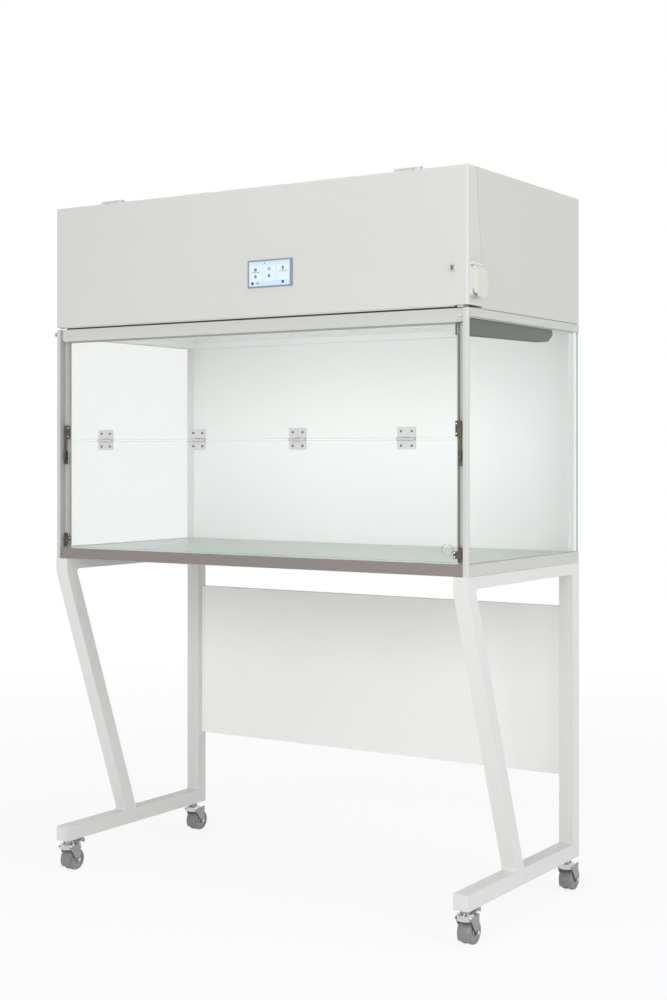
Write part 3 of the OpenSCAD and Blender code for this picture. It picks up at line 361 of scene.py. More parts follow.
def glowing(name, tint, strength):
    """A lit surface, such as the display or the lamp tube, with a faint pixel or phosphor grain."""
    s = Finish(name)
    grain = s.noise(2500.0, 1.0)
    tone = s.tones(grain, tint, 0.94, 1.03)
    return s.surface(
        Base_Color=shaded(tint, 0.25), Emission_Color=tone, Emission_Strength=strength, Roughness=0.12
    )


def finish_table(c):
    """For each finish, the function that makes it and what that is given after the name."""
    housing = (430.0, 0.00016, 0.46)
    frames = (480.0, 0.00012, 0.42)
    return {
        "stand paint": (powder_coat, c.stand, 520.0, 0.00012, 0.44, 0.2),
        # Painted light: the panel colour is set light to offset the shade it stands in.
        "panel paint": (powder_coat, c.panel),
        # Painted shade: the panel colour made darker for the flanges of the back wall, whose sides the right
        # lamp lights strongly.
        "flange paint": (powder_coat, shaded(c.panel, 0.90)),
        "cover paint": (powder_coat, c.cover, *housing),
        "casing paint": (powder_coat, c.casing, *housing),
        "rail paint": (powder_coat, c.rail, *frames),
        # Painted shade: the rail paint made darker for the recessed web of the posts.
        "post channel": (powder_coat, shaded(c.rail, 0.84), *frames),
        "inside paint": (powder_coat, c.inside, 600.0, 0.00006, 0.38),
        "lamp paint": (powder_coat, c.lamp, 600.0, 0.00008, 0.4),
        "worktop steel": (brushed, c.steel, 0.34),
        # Painted reflection: the same brushed steel as the worktop in the darker apron colour.
        "apron steel": (brushed, c.apron),
        "satin steel": (brushed, shaded(c.chrome, 0.72), 0.34, 1500.0),
        "bright steel": (brushed, shaded(c.chrome, 1.08), 0.26, 1500.0),
        "zinc sheet": (plated, c.zinc, 0.38, 0.16),
        "chrome": (plated, c.chrome),
        "dull plate": (plated, shaded(c.chrome, 0.52), 0.26, 0.12),
        # Darkened plating for the window screws, and painted shade on the rounded edges of the hinge leaves.
        "dark screw": (plated, shaded(c.chrome, 0.26), 0.34, 0.15),
        "aged metal": (plated, c.bronze, 0.38, 0.35),
        "blackened steel": (plated, paint(0.08), 0.42, 0.2),
        "cast alloy": (plated, (0.58, 0.59, 0.60), 0.45, 0.12),
        "tyre": (tread_rubber, c.tyre),
        "guard plastic": (moulded, shaded(c.tyre, 0.95), 0.36),
        "hub plastic": (moulded, shaded(c.tyre, 1.35), 0.5),
        "pedal plastic": (moulded, (0.46, 0.47, 0.47), 0.4),
        "cap plastic": (moulded, shaded(c.stand, 0.97), 0.5),
        "cream plastic": (moulded, c.cream, 0.38),
        "black plastic": (moulded, (0.025, 0.025, 0.027), 0.4),
        "bezel": (moulded, c.bezel, 0.34),
        # Dark seal colour, also painted shade along the posts and under the sash rail.
        "window seal": (moulded, c.seal, 0.6),
        "sealant": (moulded, (0.70, 0.71, 0.69), 0.35, 0.00003),
        # Dark grey foam, also painted shade for the shadow line under the cover.
        "gasket": (moulded, (0.22, 0.22, 0.20), 0.6),
        "glass": (glass_face, c.glass),
        "glass edge": (glass_rim, c.glass_edge),
        "filter paper": (fibre, (0.86, 0.86, 0.84)),
        "filter pad": (fibre, (0.60, 0.66, 0.70), 240.0, 0.001),
        "lamp tube": (glowing, (0.95, 0.98, 1.0), 0.9),
        "screen": (glowing, c.screen, 0.80),
        "screen card": (glowing, (0.72, 0.83, 0.98), 0.82),
        "slate mark": (glowing, (0.13, 0.19, 0.36), 0.8),
        "navy mark": (glowing, (0.02, 0.04, 0.17), 0.8),
        "green mark": (glowing, (0.26, 0.60, 0.30), 0.8),
    }


FINISHES = {}


def finish(name):
    """The named finish, made when it is first asked for."""
    if name not in FINISHES:
        make, *given = finish_table(colours())[name]
        FINISHES[name] = make(name, *given)
    return FINISHES[name]


# ---- Meshes ----

TOUCH = 0.00001  # points nearer than this are one
SHARP = math.radians(35)  # edges sharper than this are rounded
CREASE = math.radians(38)  # shading is smooth up to this angle
FACING = 0.7  # a face looks along an axis where its normal has more than this of it
FRAME_FOLD, PANEL_FOLD = 0.0016, 0.0018  # radii of the folds of the frames and of the large panels
SUNK = 0.0001  # a screw stands this deep in the face under it


class Shape:
    """Points in one array and faces as index tuples, so that shapes can be turned, repeated and joined."""

    def __init__(self, points, faces):
        self.points = np.asarray(points, float)
        self.faces = faces

    def at(self, origin, out=Z):
        """The shape at origin with its Z axis along the unit axis out.

        Its Y axis then points up, or to the back where out is upright.
        """
        z = np.array(out, float)
        x = np.cross(Y if out[2] else Z, z)
        turned = self.points @ np.array([x, np.cross(z, x), z])
        return Shape(turned + np.array(origin, float), self.faces)


def joined(shapes):
    """All the shapes as one."""
    offsets = np.cumsum([0] + [len(s.points) for s in shapes])
    faces = [tuple(i + offset for i in f) for s, offset in zip(shapes, offsets) for f in s.faces]
    return Shape(np.concatenate([s.points for s in shapes]), faces)


def lofted(loops, closed=False):
    """Skin over equal loops of points, given as an array of loop by point by coordinate.

    Point j of loop i joins points j and j + 1 of loop i + 1. The first and last loops are filled in,
    or joined to each other when the loft is closed.
    """
    loops = np.asarray(loops, float)
    rows, count = loops.shape[:2]
    i, j = np.meshgrid(np.arange(rows if closed else rows - 1), np.arange(count), indexing="ij")
    following, beside = (i + 1) % rows, (j + 1) % count
    quads = [i * count + j, i * count + beside, following * count + beside, following * count + j]
    faces = [tuple(q) for q in np.stack(quads, axis=-1).reshape(-1, 4).tolist()]
    if not closed:
        faces.append(tuple(range(count - 1, -1, -1)))
        faces.append(tuple(range((rows - 1) * count, rows * count)))
    return Shape(loops.reshape(-1, 3), faces)


def angles(count):
    """Equal steps of one turn."""
    return np.arange(count) * 2 * math.pi / count


def circle(radius, count=24):
    """Points at equal angles around a circle."""
    a = angles(count)
    return np.stack([np.cos(a), np.sin(a)], axis=-1) * radius


def rounded_rectangle(width, height, radius, arc=4):
    """Four quarter circles at the corners of a smaller rectangle, in order round the outline."""
    a = np.linspace(0, math.pi / 2, arc + 1)
    corner = np.stack([np.cos(a), np.sin(a)], axis=-1) * radius
    inner = np.array([width / 2 - radius, height / 2 - radius])
    quarters = ((corner, (1, 1)), (corner[::-1], (-1, 1)), (corner, (-1, -1)), (corner[::-1], (1, -1)))
    return np.concatenate([points * signs + inner * signs for points, signs in quarters])


def levels(outlines, heights):
    """Flat outlines lifted to their heights."""
    return [np.column_stack([o, np.full(len(o), h)]) for o, h in zip(outlines, heights)]


def revolved(profile, count):
    """A closed profile of (radius, height) points turned once round Z."""
    r, h = np.asarray(profile, float).T
    around = circle(1.0, count)[:, None] * r[None, :, None]
    return lofted(np.dstack([around, np.tile(h, (count, 1))]), closed=True)


def ring(radius, width, thickness):
    """A flat ring, a four-cornered section turned round Z."""
    return revolved([(radius - width, 0), (radius, 0), (radius, thickness), (radius - width, thickness)], 24)


def chamfered(rim, thickness, edge):
    """A plate whose outline is rim(inset) and whose top edge is rounded by two chamfers."""
    rings = [rim(0), rim(0), rim(edge * 0.3), rim(edge)]
    return lofted(levels(rings, [0, thickness - edge, thickness - edge * 0.3, thickness]))


def disc(radius, thickness, edge):
    """A round plate."""
    return chamfered(lambda inset: circle(radius - inset), thickness, edge)


def tile(width, height, radius, thickness, edge):
    """A rectangular plate with round corners."""
    def rim(inset):
        return rounded_rectangle(width - 2 * inset, height - 2 * inset, max(radius - inset, radius * 0.2))

    return chamfered(rim, thickness, edge)


def cross_head(radius, height):
    """A pan-head screw: rings rise in a dome to a cross-shaped rim, which drops to the recess.

    The cross's rim lies at the nearer of the arm's end and the arm's side along each angle.
    """
    count, arm_length, arm_half_width = 16, 0.55, 0.11
    a = angles(count)
    off = np.abs((a + math.pi / 4) % (math.pi / 2) - math.pi / 4)
    rim = np.minimum(arm_length / np.cos(off), arm_half_width / np.maximum(np.sin(off), 1e-6)) * radius
    cross = circle(1.0, count) * rim[:, None]
    rings = [circle(radius, count), circle(radius, count), circle(radius * 0.88, count), cross, cross * 0.9]
    return lofted(levels(rings, np.array([0, 0.3, 0.72, 1.0, 0.35]) * height))


def hex_head(radius, height):
    """A hexagon bolt: a chamfered six-sided ring with a shallow dished top."""
    flat = np.cos(math.pi / 6) / np.cos((angles(24) % (math.pi / 3)) - math.pi / 6)
    hexagon = circle(radius, 24) * flat[:, None]
    rings = [hexagon, hexagon, circle(radius * 0.85), circle(radius * 0.6)]
    return lofted(levels(rings, np.array([0, 0.82, 1.0, 0.9]) * height))


def tube_along(path, radius):
    """A round bar along a path: each loop lies square to the path's direction there."""
    along = np.gradient(path, axis=0)
    along /= np.linalg.norm(along, axis=1)[:, None]
    side = np.cross(along, (0.12, 0.31, 0.94))
    side /= np.linalg.norm(side, axis=1)[:, None]
    over = np.cross(along, side)
    loop = circle(radius, 10)
    return lofted(path[:, None] + loop[None, :, :1] * side[:, None] + loop[None, :, 1:] * over[:, None])


def front_bead(left, front, reach, bend, across, up):
    """A soft bead on a level path, from reach behind the front round the left corner and across the front.

    Its section, given across the path and up, stands square to the path.
    """
    path = np.array([(left, front + reach), (left, front + bend), (left + bend * 0.3, front + bend * 0.3),
                     (left + bend, front), (MID + HALF - 0.040, front)])
    along = np.gradient(path, axis=0)
    side = np.stack([along[:, 1], -along[:, 0]], axis=-1) / np.linalg.norm(along, axis=1)[:, None]
    return lofted(levels([place + across[:, None] * out for place, out in zip(path, side)], [up] * len(path)))


def heads(shape, places, out=Z):
    """The head of a screw or bolt at each of the places, facing out."""
    return joined([shape.at(place, out) for place in places])


def new_mesh(name, shape):
    mesh = bpy.data.meshes.new(name)
    mesh.from_pydata(shape.points.tolist(), [], shape.faces)
    mesh.update()
    return mesh


def settle(name, mesh, body, slot, materials, replaced=()):
    """Links a mesh as a piece that rides on a body."""
    obj = bpy.data.objects.new(name, mesh)
    bpy.context.scene.collection.objects.link(obj)
    for material in materials:
        mesh.materials.append(finish(material))
    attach(obj, body)
    if replaced:
        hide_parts(*replaced)
    return obj


def piece(name, shape, material, body, slot, replaced=()):
    """A new piece from a shape, shaded smooth across its blunt edges."""
    mesh = new_mesh(name, shape)
    mesh.shade_smooth()
    mesh.set_sharp_from_angle(angle=CREASE)
    return settle(name, mesh, body, slot, [material], replaced)


def corners(node):
    """The low and the high corner of a node's box."""
    low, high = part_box(node)
    return np.array(low), np.array(high)


def clean_copy(node):
    """The CAD node's mesh with its doubles merged and its flat faces made whole."""
    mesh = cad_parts[node].data.copy()
    mesh.materials.clear()
    work = bmesh.new()
    work.from_mesh(mesh)
    bmesh.ops.remove_doubles(work, verts=work.verts, dist=TOUCH)
    bmesh.ops.dissolve_limit(
        work, angle_limit=math.radians(0.5), use_dissolve_boundaries=False, verts=work.verts, edges=work.edges
    )
    work.to_mesh(mesh)
    work.free()
    for name in ("custom_normal", "sharp_face"):
        if name in mesh.attributes:
            mesh.attributes.remove(mesh.attributes[name])
    return mesh


def rounded_copy(name, node, body, slot, materials, radius, outer=None, segments=2, pick=None, bevel_slot=-1,
                 fold=0.0, rim=None):
    """A copy of a CAD node with rounded edges.

    The edges whose ends rim accepts are folded with the radius fold. Every other edge sharper than SHARP gets
    radius, or outer where it lies on two sides of the node's box. pick gives each face the number of its
    material from its centre and normal, and bevel_slot is the material of the rounded edges.
    """
    mesh = clean_copy(node)
    outer = outer or radius
    low, high = corners(node)
    work = bmesh.new()
    work.from_mesh(mesh)
    if rim:
        folds = [
            e for e in work.edges
            if rim(np.array([v.co for v in e.verts])) and e.calc_face_angle(0) > SHARP
        ]
        bmesh.ops.bevel(
            work, geom=folds, offset=fold, segments=5, profile=0.5, affect="EDGES", clamp_overlap=False
        )
    weight = work.edges.layers.float.new("bevel_weight_edge")
    for edge in work.edges:
        if len(edge.link_faces) != 2 or edge.calc_face_angle(0) < SHARP:
            continue
        ends = np.array([v.co for v in edge.verts])
        sides = (np.abs(ends - low).max(0) < TOUCH).sum() + (np.abs(ends - high).max(0) < TOUCH).sum()
        edge[weight] = 1.0 if sides >= 2 else radius / outer
    for face in work.faces:
        face.smooth = True
        if pick:
            face.material_index = pick(face.calc_center_median(), face.normal)
    work.to_mesh(mesh)
    work.free()
    obj = settle(name, mesh, body, slot, materials, [node])
    bevel = obj.modifiers.new("edge", "BEVEL")
    bevel.limit_method = "WEIGHT"
    bevel.width = outer
    bevel.segments = segments
    bevel.use_clamp_overlap = True
    bevel.harden_normals = True
    bevel.material = bevel_slot
    return obj


def copies(rows):
    """Rounded copies in one finish: name, node, body, slot, finish and the sizes of the edges."""
    for name, node, body, slot, material, *edges in rows:
        rounded_copy(name, node, body, slot, [material], *edges)


def sheet_of_glass(name, node, body, slot, axis):
    """Glass with its edges ground: the faces across the axis are clear and the edges are tinted."""
    return rounded_copy(
        name, node, body, slot, ["glass", "glass edge"], 0.0007,
        pick=lambda centre, normal: int(abs(normal[axis]) < FACING), bevel_slot=1,
    )


def dress(names, material):
    """Gives CAD nodes that keep their shape a finish."""
    for name in names:
        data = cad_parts[name].data
        data.materials.clear()
        data.materials.append(finish(material))


# ---- Operators ----


class HOOD_OT_stage(bpy.types.Operator):
    """Sets the floor, the light and the camera"""

    bl_idname = "hood.stage"
    bl_label = "Stage"

    def execute(self, context):
        stage = context.scene.hood_stage
        scene = context.scene
        scene.view_settings.view_transform = "Standard"

        size = float(stage.floor)
        outline = [(-size, -size, 0), (size, -size, 0), (size, size, 0), (-size, size, 0)]
        floor = bpy.data.objects.new("floor", new_mesh("floor", Shape(outline, [(0, 1, 2, 3)])))
        floor.data.materials.append(self.floor_paint())
        scene.collection.objects.link(floor)

        world = bpy.data.worlds.new("studio")
        scene.world = world
        world.use_nodes = True
        sky = Shader(world.node_tree)
        background = sky.tree.nodes["Background"]
        sky.feed(background.inputs["Strength"], stage.ambient + (1.0 - stage.ambient) * sky.shown())
        sky.feed(background.inputs["Color"], (1.0, 1.0, 1.0, 1.0))

        self.lamp(scene, "key", (0.9, -6.2, 2.2), 3.6, stage.key)
        self.lamp(scene, "side", (5.0, -0.6, 2.4), 3.0, stage.fill)
        self.lamp(scene, "top", (0.3, -0.5, 5.2), 3.0, stage.top)
        soft = self.lamp(scene, "chamber", (MID, FRONT + 0.06, WORKTOP + 0.28), 1.1, stage.chamber)
        soft.rotation_euler = (math.radians(98), 0.0, 0.0)
        soft.data.shape = "RECTANGLE"
        soft.data.size_y = 0.45
        soft.visible_camera = soft.visible_glossy = soft.visible_transmission = False
        self.camera(scene, stage)
        return {"FINISHED"}

    def camera(self, scene, stage):
        """A level camera that circles the middle of the cabinet; its frame is shifted instead of tilted."""
        a = math.radians(stage.azimuth)
        data = bpy.data.cameras.new("camera")
        data.sensor_fit = "VERTICAL"
        data.sensor_height = 24.0
        data.lens = stage.lens
        data.shift_x = stage.shift_x
        data.shift_y = stage.shift_y
        camera = bpy.data.objects.new("camera", data)
        scene.collection.objects.link(camera)
        x, y = math.sin(a) * stage.distance, math.cos(a) * stage.distance
        camera.location = (MID + x, (FRONT + REAR) / 2 - y, stage.height)
        camera.rotation_euler = (math.pi / 2, 0.0, a)
        scene.camera = camera

    def floor_paint(self):
        """Pale floor: white to the eye, pure white far away, and with part of the shadow near by."""
        near_white, fade_start, fade_length = 0.86, 1.2, 3.5
        s = Finish("floor")
        far = s.node("VectorMath", {0: s.place()}, 1, operation="LENGTH")
        share = s.shown() * (near_white + (1 - near_white) * ((far - fade_start) / fade_length).clamped())
        s.surface(Base_Color=(0.92, 0.92, 0.92, 1.0), Roughness=0.9)
        white = s.node("Emission", {"Strength": 1.0})
        mixed = s.node("MixShader", {0: share, 1: Wire(s, s.principled.outputs[0]), 2: white})
        s.tree.links.new(mixed.socket, s.tree.nodes["Material Output"].inputs["Surface"])
        return s.material

    def lamp(self, scene, name, place, size, power):
        """A square lamp that faces the middle of the cabinet."""
        data = bpy.data.lights.new(name, "AREA")
        data.size = size
        data.energy = power
        obj = bpy.data.objects.new(name, data)
        scene.collection.objects.link(obj)
        obj.location = place
        x, y, z = np.array((MID, 0.0, 1.1)) - np.array(place)
        obj.rotation_euler = (math.atan2(math.hypot(x, y), -z), 0.0, math.atan2(-x, y))
        return obj


class HOOD_OT_stand(bpy.types.Operator):
    """Builds the side frames, the rail caps and the modesty panel"""

    bl_idname = "hood.stand"
    bl_label = "Stand"

    def execute(self, context):
        s = sizes()
        for side in ("left", "right"):
            names = f"stand_frame_{side}", f"side_frame_{side}"
            rounded_copy(*names, "cabinet", "stand_paint", ["stand paint"], 0.0007, s.tube_edge, 3)
        copies([
            ("rail_caps", "rail_end_caps", "cabinet", "cap_plastic", "cap plastic", 0.0006, 0.0022, 3),
            ("leg_panel", "modesty_panel", "cabinet", "panel_paint", "panel paint", s.sheet_edge, PANEL_FOLD),
        ])
        low, high = corners("modesty_panel")
        flange_middle, end, sunk = 0.0085, 0.04, 0.002
        bolts = [
            hex_head(s.bolt, 0.0035).at((x, low[1] + flange_middle, z), out)
            for x, out in ((low[0] + sunk, X), (high[0] - sunk, LEFTWARD))
            for z in np.linspace(low[2] + end, high[2] - end, 3)
        ]
        piece("leg_panel_bolts", joined(bolts), "satin steel", "cabinet", "zinc_steel")
        return {"FINISHED"}


class HOOD_OT_casters(bpy.types.Operator):
    """Builds the forks, the wheels, the stems and the brake pedals"""

    bl_idname = "hood.casters"
    bl_label = "Casters"

    def execute(self, context):
        dress(["caster_stems"], "dull plate")
        fork_crown = 0.066
        for key in ("fl", "fr", "rl", "rr"):
            body, wheels_body = f"swivel_{key}", f"wheels_{key}"
            rounded_copy(
                f"fork_{key}", f"caster_fork_{key}", body, "chrome", ["dull plate", "chrome"], 0.0007,
                bevel_slot=1, pick=lambda centre, normal: int(centre[2] > fork_crown),
            )
            low, high = corners(f"caster_wheels_{key}")
            axle = (low + high) / 2
            half = (high[0] - low[0]) / 2
            wheels = [self.wheel(axle, half, out) for out in (LEFTWARD, X)]
            tyres, hubs = (joined(shapes) for shapes in zip(*wheels))
            piece(f"tyres_{key}", tyres, "tyre", wheels_body, "wheel", [f"caster_wheels_{key}"])
            piece(f"hubs_{key}", hubs, "hub plastic", wheels_body, "wheel")
            piece(f"guard_{key}", self.guard(axle, half), "guard plastic", body, "pedal")
            low, high = corners(f"caster_fork_{key}")
            nuts = [
                hex_head(0.0052, 0.003).at((x, axle[1], axle[2]), out)
                for x, out in ((high[0] - 0.0005, X), (low[0] + 0.0005, LEFTWARD))
            ]
            piece(f"axle_nuts_{key}", joined(nuts), "chrome", body, "chrome")
        for key in ("fl", "fr"):
            names = f"pedal_{key}", f"brake_pedal_{key}", f"pedal_{key}"
            rounded_copy(*names, "pedal", ["pedal plastic"], 0.0008, 0.0014, 3)
        return {"FINISHED"}

    def guard(self, axle, half):
        """A bowed strip over the wheels: a thin section carried round the axle at a fixed distance."""
        rows, thickness, gap = 26, 0.0017, 0.0023
        across, outward = rounded_rectangle(2 * half + 0.0006, thickness, 0.0007, 2).T
        turn = np.radians(np.linspace(62, 214, rows))[:, None]
        out = axle[2] + gap + outward
        x = axle[0] + np.tile(across, (rows, 1))
        return lofted(np.stack([x, axle[1] + np.cos(turn) * out, axle[2] + np.sin(turn) * out], axis=-1))

    def wheel(self, axle, half, out):
        """A tyre and a hub, each a closed profile turned round the axle on one side of the fork's middle."""
        radius, inner, outer = axle[2], 0.001, half
        tread = ((0.0003, 0.0042), (0.0014, 0.0016), (0.004, 0.0003), (0.0065, 0.0004), (0.0072, 0.0012))
        tyre = [
            (radius - 0.0085, inner), (radius - 0.004, inner), (radius - 0.0014, inner + 0.0014),
            (radius - 0.0003, inner + 0.0042), (radius, (inner + outer) / 2),
            *((radius - drop, outer - back) for drop, back in tread), (radius - 0.0085, outer - 0.0012),
        ]
        hub = [
            (0.0032, inner + 0.0002), (radius - 0.0086, inner + 0.0002), (radius - 0.0086, outer - 0.0018),
            (radius - 0.0098, outer - 0.0016), (radius - 0.0108, outer - 0.0040), (0.0112, outer - 0.0046),
            (0.0098, outer - 0.0012), (0.0088, outer - 0.0002), (0.0032, outer - 0.0002),
        ]
        return [revolved(profile, 48).at(axle, out) for profile in (tyre, hub)]


class HOOD_OT_cabinet(bpy.types.Operator):
    """Builds the base frame, the work surface, the posts, the side glass and the back wall"""

    bl_idname = "hood.cabinet"
    bl_label = "Cabinet"

    def execute(self, context):
        s = sizes()
        frame_edges = (s.sheet_edge, FRAME_FOLD)
        copies([("base_ring", "base_frame", "cabinet", "cabinet_paint", "rail paint", *frame_edges)])
        # Faces below the top of the worktop, its folded front edge, take the darker apron steel: painted
        # reflection.
        rounded_copy(
            "work_surface", "worktop", "cabinet", "worktop_steel", ["worktop steel", "apron steel"],
            0.0007, FRAME_FOLD, pick=lambda centre, normal: int(centre[2] < WORKTOP - 0.0005),
        )
        # Faces near the middle of a post, its recessed web, take the darker post channel paint: painted
        # shade.
        channel = HALF - 0.013
        for side in ("left", "right"):
            rounded_copy(
                f"post_{side}", f"front_post_{side}", "cabinet", "cabinet_paint",
                ["rail paint", "post channel"], 0.0004, 0.0006,
                pick=lambda centre, normal: int(abs(centre[0] - MID) < channel),
            )
            sheet_of_glass(f"pane_{side}", f"side_glass_{side}", "cabinet", "side_glass", 0)
        # Faces that look along X, the flanges, take the darker flange paint: painted shade.
        rounded_copy(
            "back_wall", "back_panel", "cabinet", "inner_paint", ["inside paint", "flange paint"],
            s.sheet_edge, PANEL_FOLD, pick=lambda centre, normal: int(abs(normal[0]) > FACING),
        )
        self.seals()
        return {"FINISHED"}

    def seals(self):
        """Beads of sealant along the foot and the top of the side glass, and the dark soft seals up the
        posts, which are also painted shade along the posts.
        """
        beads, off, radius = [], 0.0012, 0.0017
        for side, inward in (("left", 1), ("right", -1)):
            low, high = corners(f"side_glass_{side}")
            x = (high if inward > 0 else low)[0] + inward * off
            for z in (low[2] + 0.001, high[2] - 0.001):
                path = np.linspace((x, low[1] + 0.004, z), (x, high[1] - 0.05, z), 6)
                beads.append(tube_along(path, radius))
        piece("glass_seals", joined(beads), "sealant", "cabinet", "cap_plastic")
        oval = circle(1.0, 16) * (0.0030, 0.0021)
        heights = np.linspace(WORKTOP + 0.002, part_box("lamp_housing")[1].z - 0.015, 3)
        places = [(MID + side * (HALF - 0.036), FRONT + 0.0192) for side in (-1, 1)]
        seals = joined([lofted(levels([oval + place] * 3, heights)) for place in places])
        piece("post_seals_and_shade", seals, "window seal", "cabinet", "cap_plastic")


class HOOD_OT_housing(bpy.types.Operator):
    """Builds the plenum frame, the casing and what shows of the air path"""

    bl_idname = "hood.housing"
    bl_label = "Housing"

    def execute(self, context):
        s = sizes()
        low, high = corners("plenum_frame")
        rail = 0.03

        def inside(centre, normal):
            """1 for the underside of the plenum frame and the walls of its window, which take the white
            inside paint: painted light on this shaded band.
            """
            window = all(low[i] + rail < centre[i] < high[i] - rail for i in (0, 1))
            return int(normal[2] < -0.9 or (abs(normal[2]) < 0.3 and window))

        # The ring's underside and window walls take the white inside paint instead of the rail paint: painted
        # light.
        rounded_copy(
            "plenum_ring", "plenum_frame", "cabinet", "cabinet_paint", ["rail paint", "inside paint"],
            s.sheet_edge, FRAME_FOLD, pick=inside,
        )
        folds = (s.sheet_edge, s.fold_edge, 3)
        copies([
            ("casing", "housing_casing", "cabinet", "casing_paint", "casing paint", *folds),
            ("inner_front", "plenum_front_panel", "cabinet", "casing_paint", "inside paint", 0.0004),
            ("ceiling_grid", "diffuser", "cabinet", "inner_paint", "inside paint", 0.0004, 0.0008),
            ("lamp_case", "lamp_housing", "cabinet", "lamp_body", "lamp paint", 0.0006, 0.0015),
            ("air_grille", "inlet_grille", "cabinet", "cabinet_paint", "rail paint", 0.0004, 0.001),
            ("control_case", "control_box", "cabinet", "cabinet_paint", "rail paint", 0.0005, 0.0012),
        ])
        dress(["filter_media"], "filter paper")
        dress(["prefilter_pad"], "filter pad")
        dress(["filter_frame", "fan_deck"], "zinc sheet")
        dress(["fan_motor"], "blackened steel")
        dress(["fan_impeller"], "cast alloy")
        dress(["lamp_tube"], "lamp tube")
        self.fasteners(cross_head(s.screw, 0.0022))
        self.gasket()
        return {"FINISHED"}

    def gasket(self):
        """Foam on the plenum frame under the cover, half round on a low foot; its dark grey is also painted
        shade for the shadow line under the cover.
        """
        radius, foot, sunk = 0.0030, 0.0033, 0.0003
        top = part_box("housing_casing")[0].z - 0.0021
        a = np.linspace(0, math.pi, 9)
        across = np.concatenate([np.cos(a), [-1, 1]]) * radius
        up = np.concatenate([np.sin(a) * radius + foot, [-sunk, -sunk]]) + top
        bead = front_bead(MID - HALF + 0.006, FRONT + 0.0345, 0.032, 0.010, across, up)
        piece("cover_gasket", bead, "gasket", "cabinet", "cap_plastic")

    def fasteners(self, screw):
        """Screws round the inlet grille and along the back of the casing."""
        low, high = corners("inlet_grille")
        rim = 0.009
        grille = [
            (x, y, high[2] - SUNK)
            for x in np.linspace(low[0] + rim, high[0] - rim, 4)
            for y in (low[1] + rim, high[1] - rim)
        ]
        low, high = corners("housing_casing")
        back = [
            (x, high[1] - SUNK, z)
            for x in np.linspace(low[0] + 0.04, high[0] - 0.04, 7)
            for z in (low[2] + 0.012, high[2] - 0.014)
        ]
        shapes = joined([heads(screw, grille), heads(screw, back, Y)])
        piece("casing_screws", shapes, "satin steel", "cabinet", "zinc_steel")


class HOOD_OT_cover(bpy.types.Operator):
    """Builds the front cover with its hinges, lock and mains socket"""

    bl_idname = "hood.cover"
    bl_label = "Front cover"

    def execute(self, context):
        s = sizes()
        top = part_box("housing_casing")[1].z
        skin = 0.0115

        def top_fold(ends):
            """Whether an edge lies in the cover's top, along its front or a cheek."""
            outside = (ends[:, 1] < FRONT + skin) | (np.abs(ends[:, 0] - MID) > HALF - skin)
            return np.abs(ends[:, 2] - top).max() < TOUCH and bool(outside.all())

        rounded_copy(
            "cover", "front_cover", "cover", "cabinet_paint", ["cover paint"], s.sheet_edge, s.fold_edge, 3,
            fold=s.cover_edge, rim=top_fold,
        )
        cut_sheet = (0.0006, 0.0012)
        copies([
            ("cover_hinges", "cover_hinge_brackets", "cabinet", "hardware_steel", "rail paint", *cut_sheet),
            ("socket_case", "socket_base", "cover", "cream_plastic", "cream plastic", 0.0006, 0.0015, 3),
            ("socket_cap", "socket_lid", "lid", "cream_plastic", "cream plastic", 0.0009, 0.0030, 4),
            ("lock_ring", "lock_barrel", "cover", "chrome", "chrome", 0.0012, None, 3),
        ])
        dress(["cover_hinge_pins"], "satin steel")
        front = corners("lock_plug")[0][1]

        def keyway(centre, normal):
            """1 for the floor of the key's slot."""
            return int(front + 0.001 < centre[1] < front + 0.012 and abs(normal[1]) > 0.9)

        rounded_copy(
            "lock_core", "lock_plug", "lock", "chrome", ["dull plate", "black plastic"], 0.0003, pick=keyway
        )
        piece("cover_seal", self.seal(), "sealant", "cover", "cap_plastic")
        low, high = corners("cover_hinge_brackets")
        leaf, margin = 0.003, 0.008
        places = [
            (MID + side * s.cover_hinge + x, high[1] - margin, low[2] + leaf)
            for side in (-1, 1)
            for x in (-0.028, 0.0, 0.028)
        ]
        screws = heads(cross_head(s.screw, 0.0022), places)
        piece("cover_hinge_screws", screws, "satin steel", "cabinet", "zinc_steel")
        return {"FINISHED"}

    def seal(self):
        """A hanging half round of soft material under the cover's lip."""
        radius, bottom = 0.0032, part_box("front_cover")[0].z + 0.0002
        a = np.linspace(math.pi, 2 * math.pi, 11)
        section = radius * np.cos(a), bottom + radius * np.sin(a)
        return front_bead(MID - HALF + 0.0050, FRONT + 0.0088, 0.018, 0.006, *section)


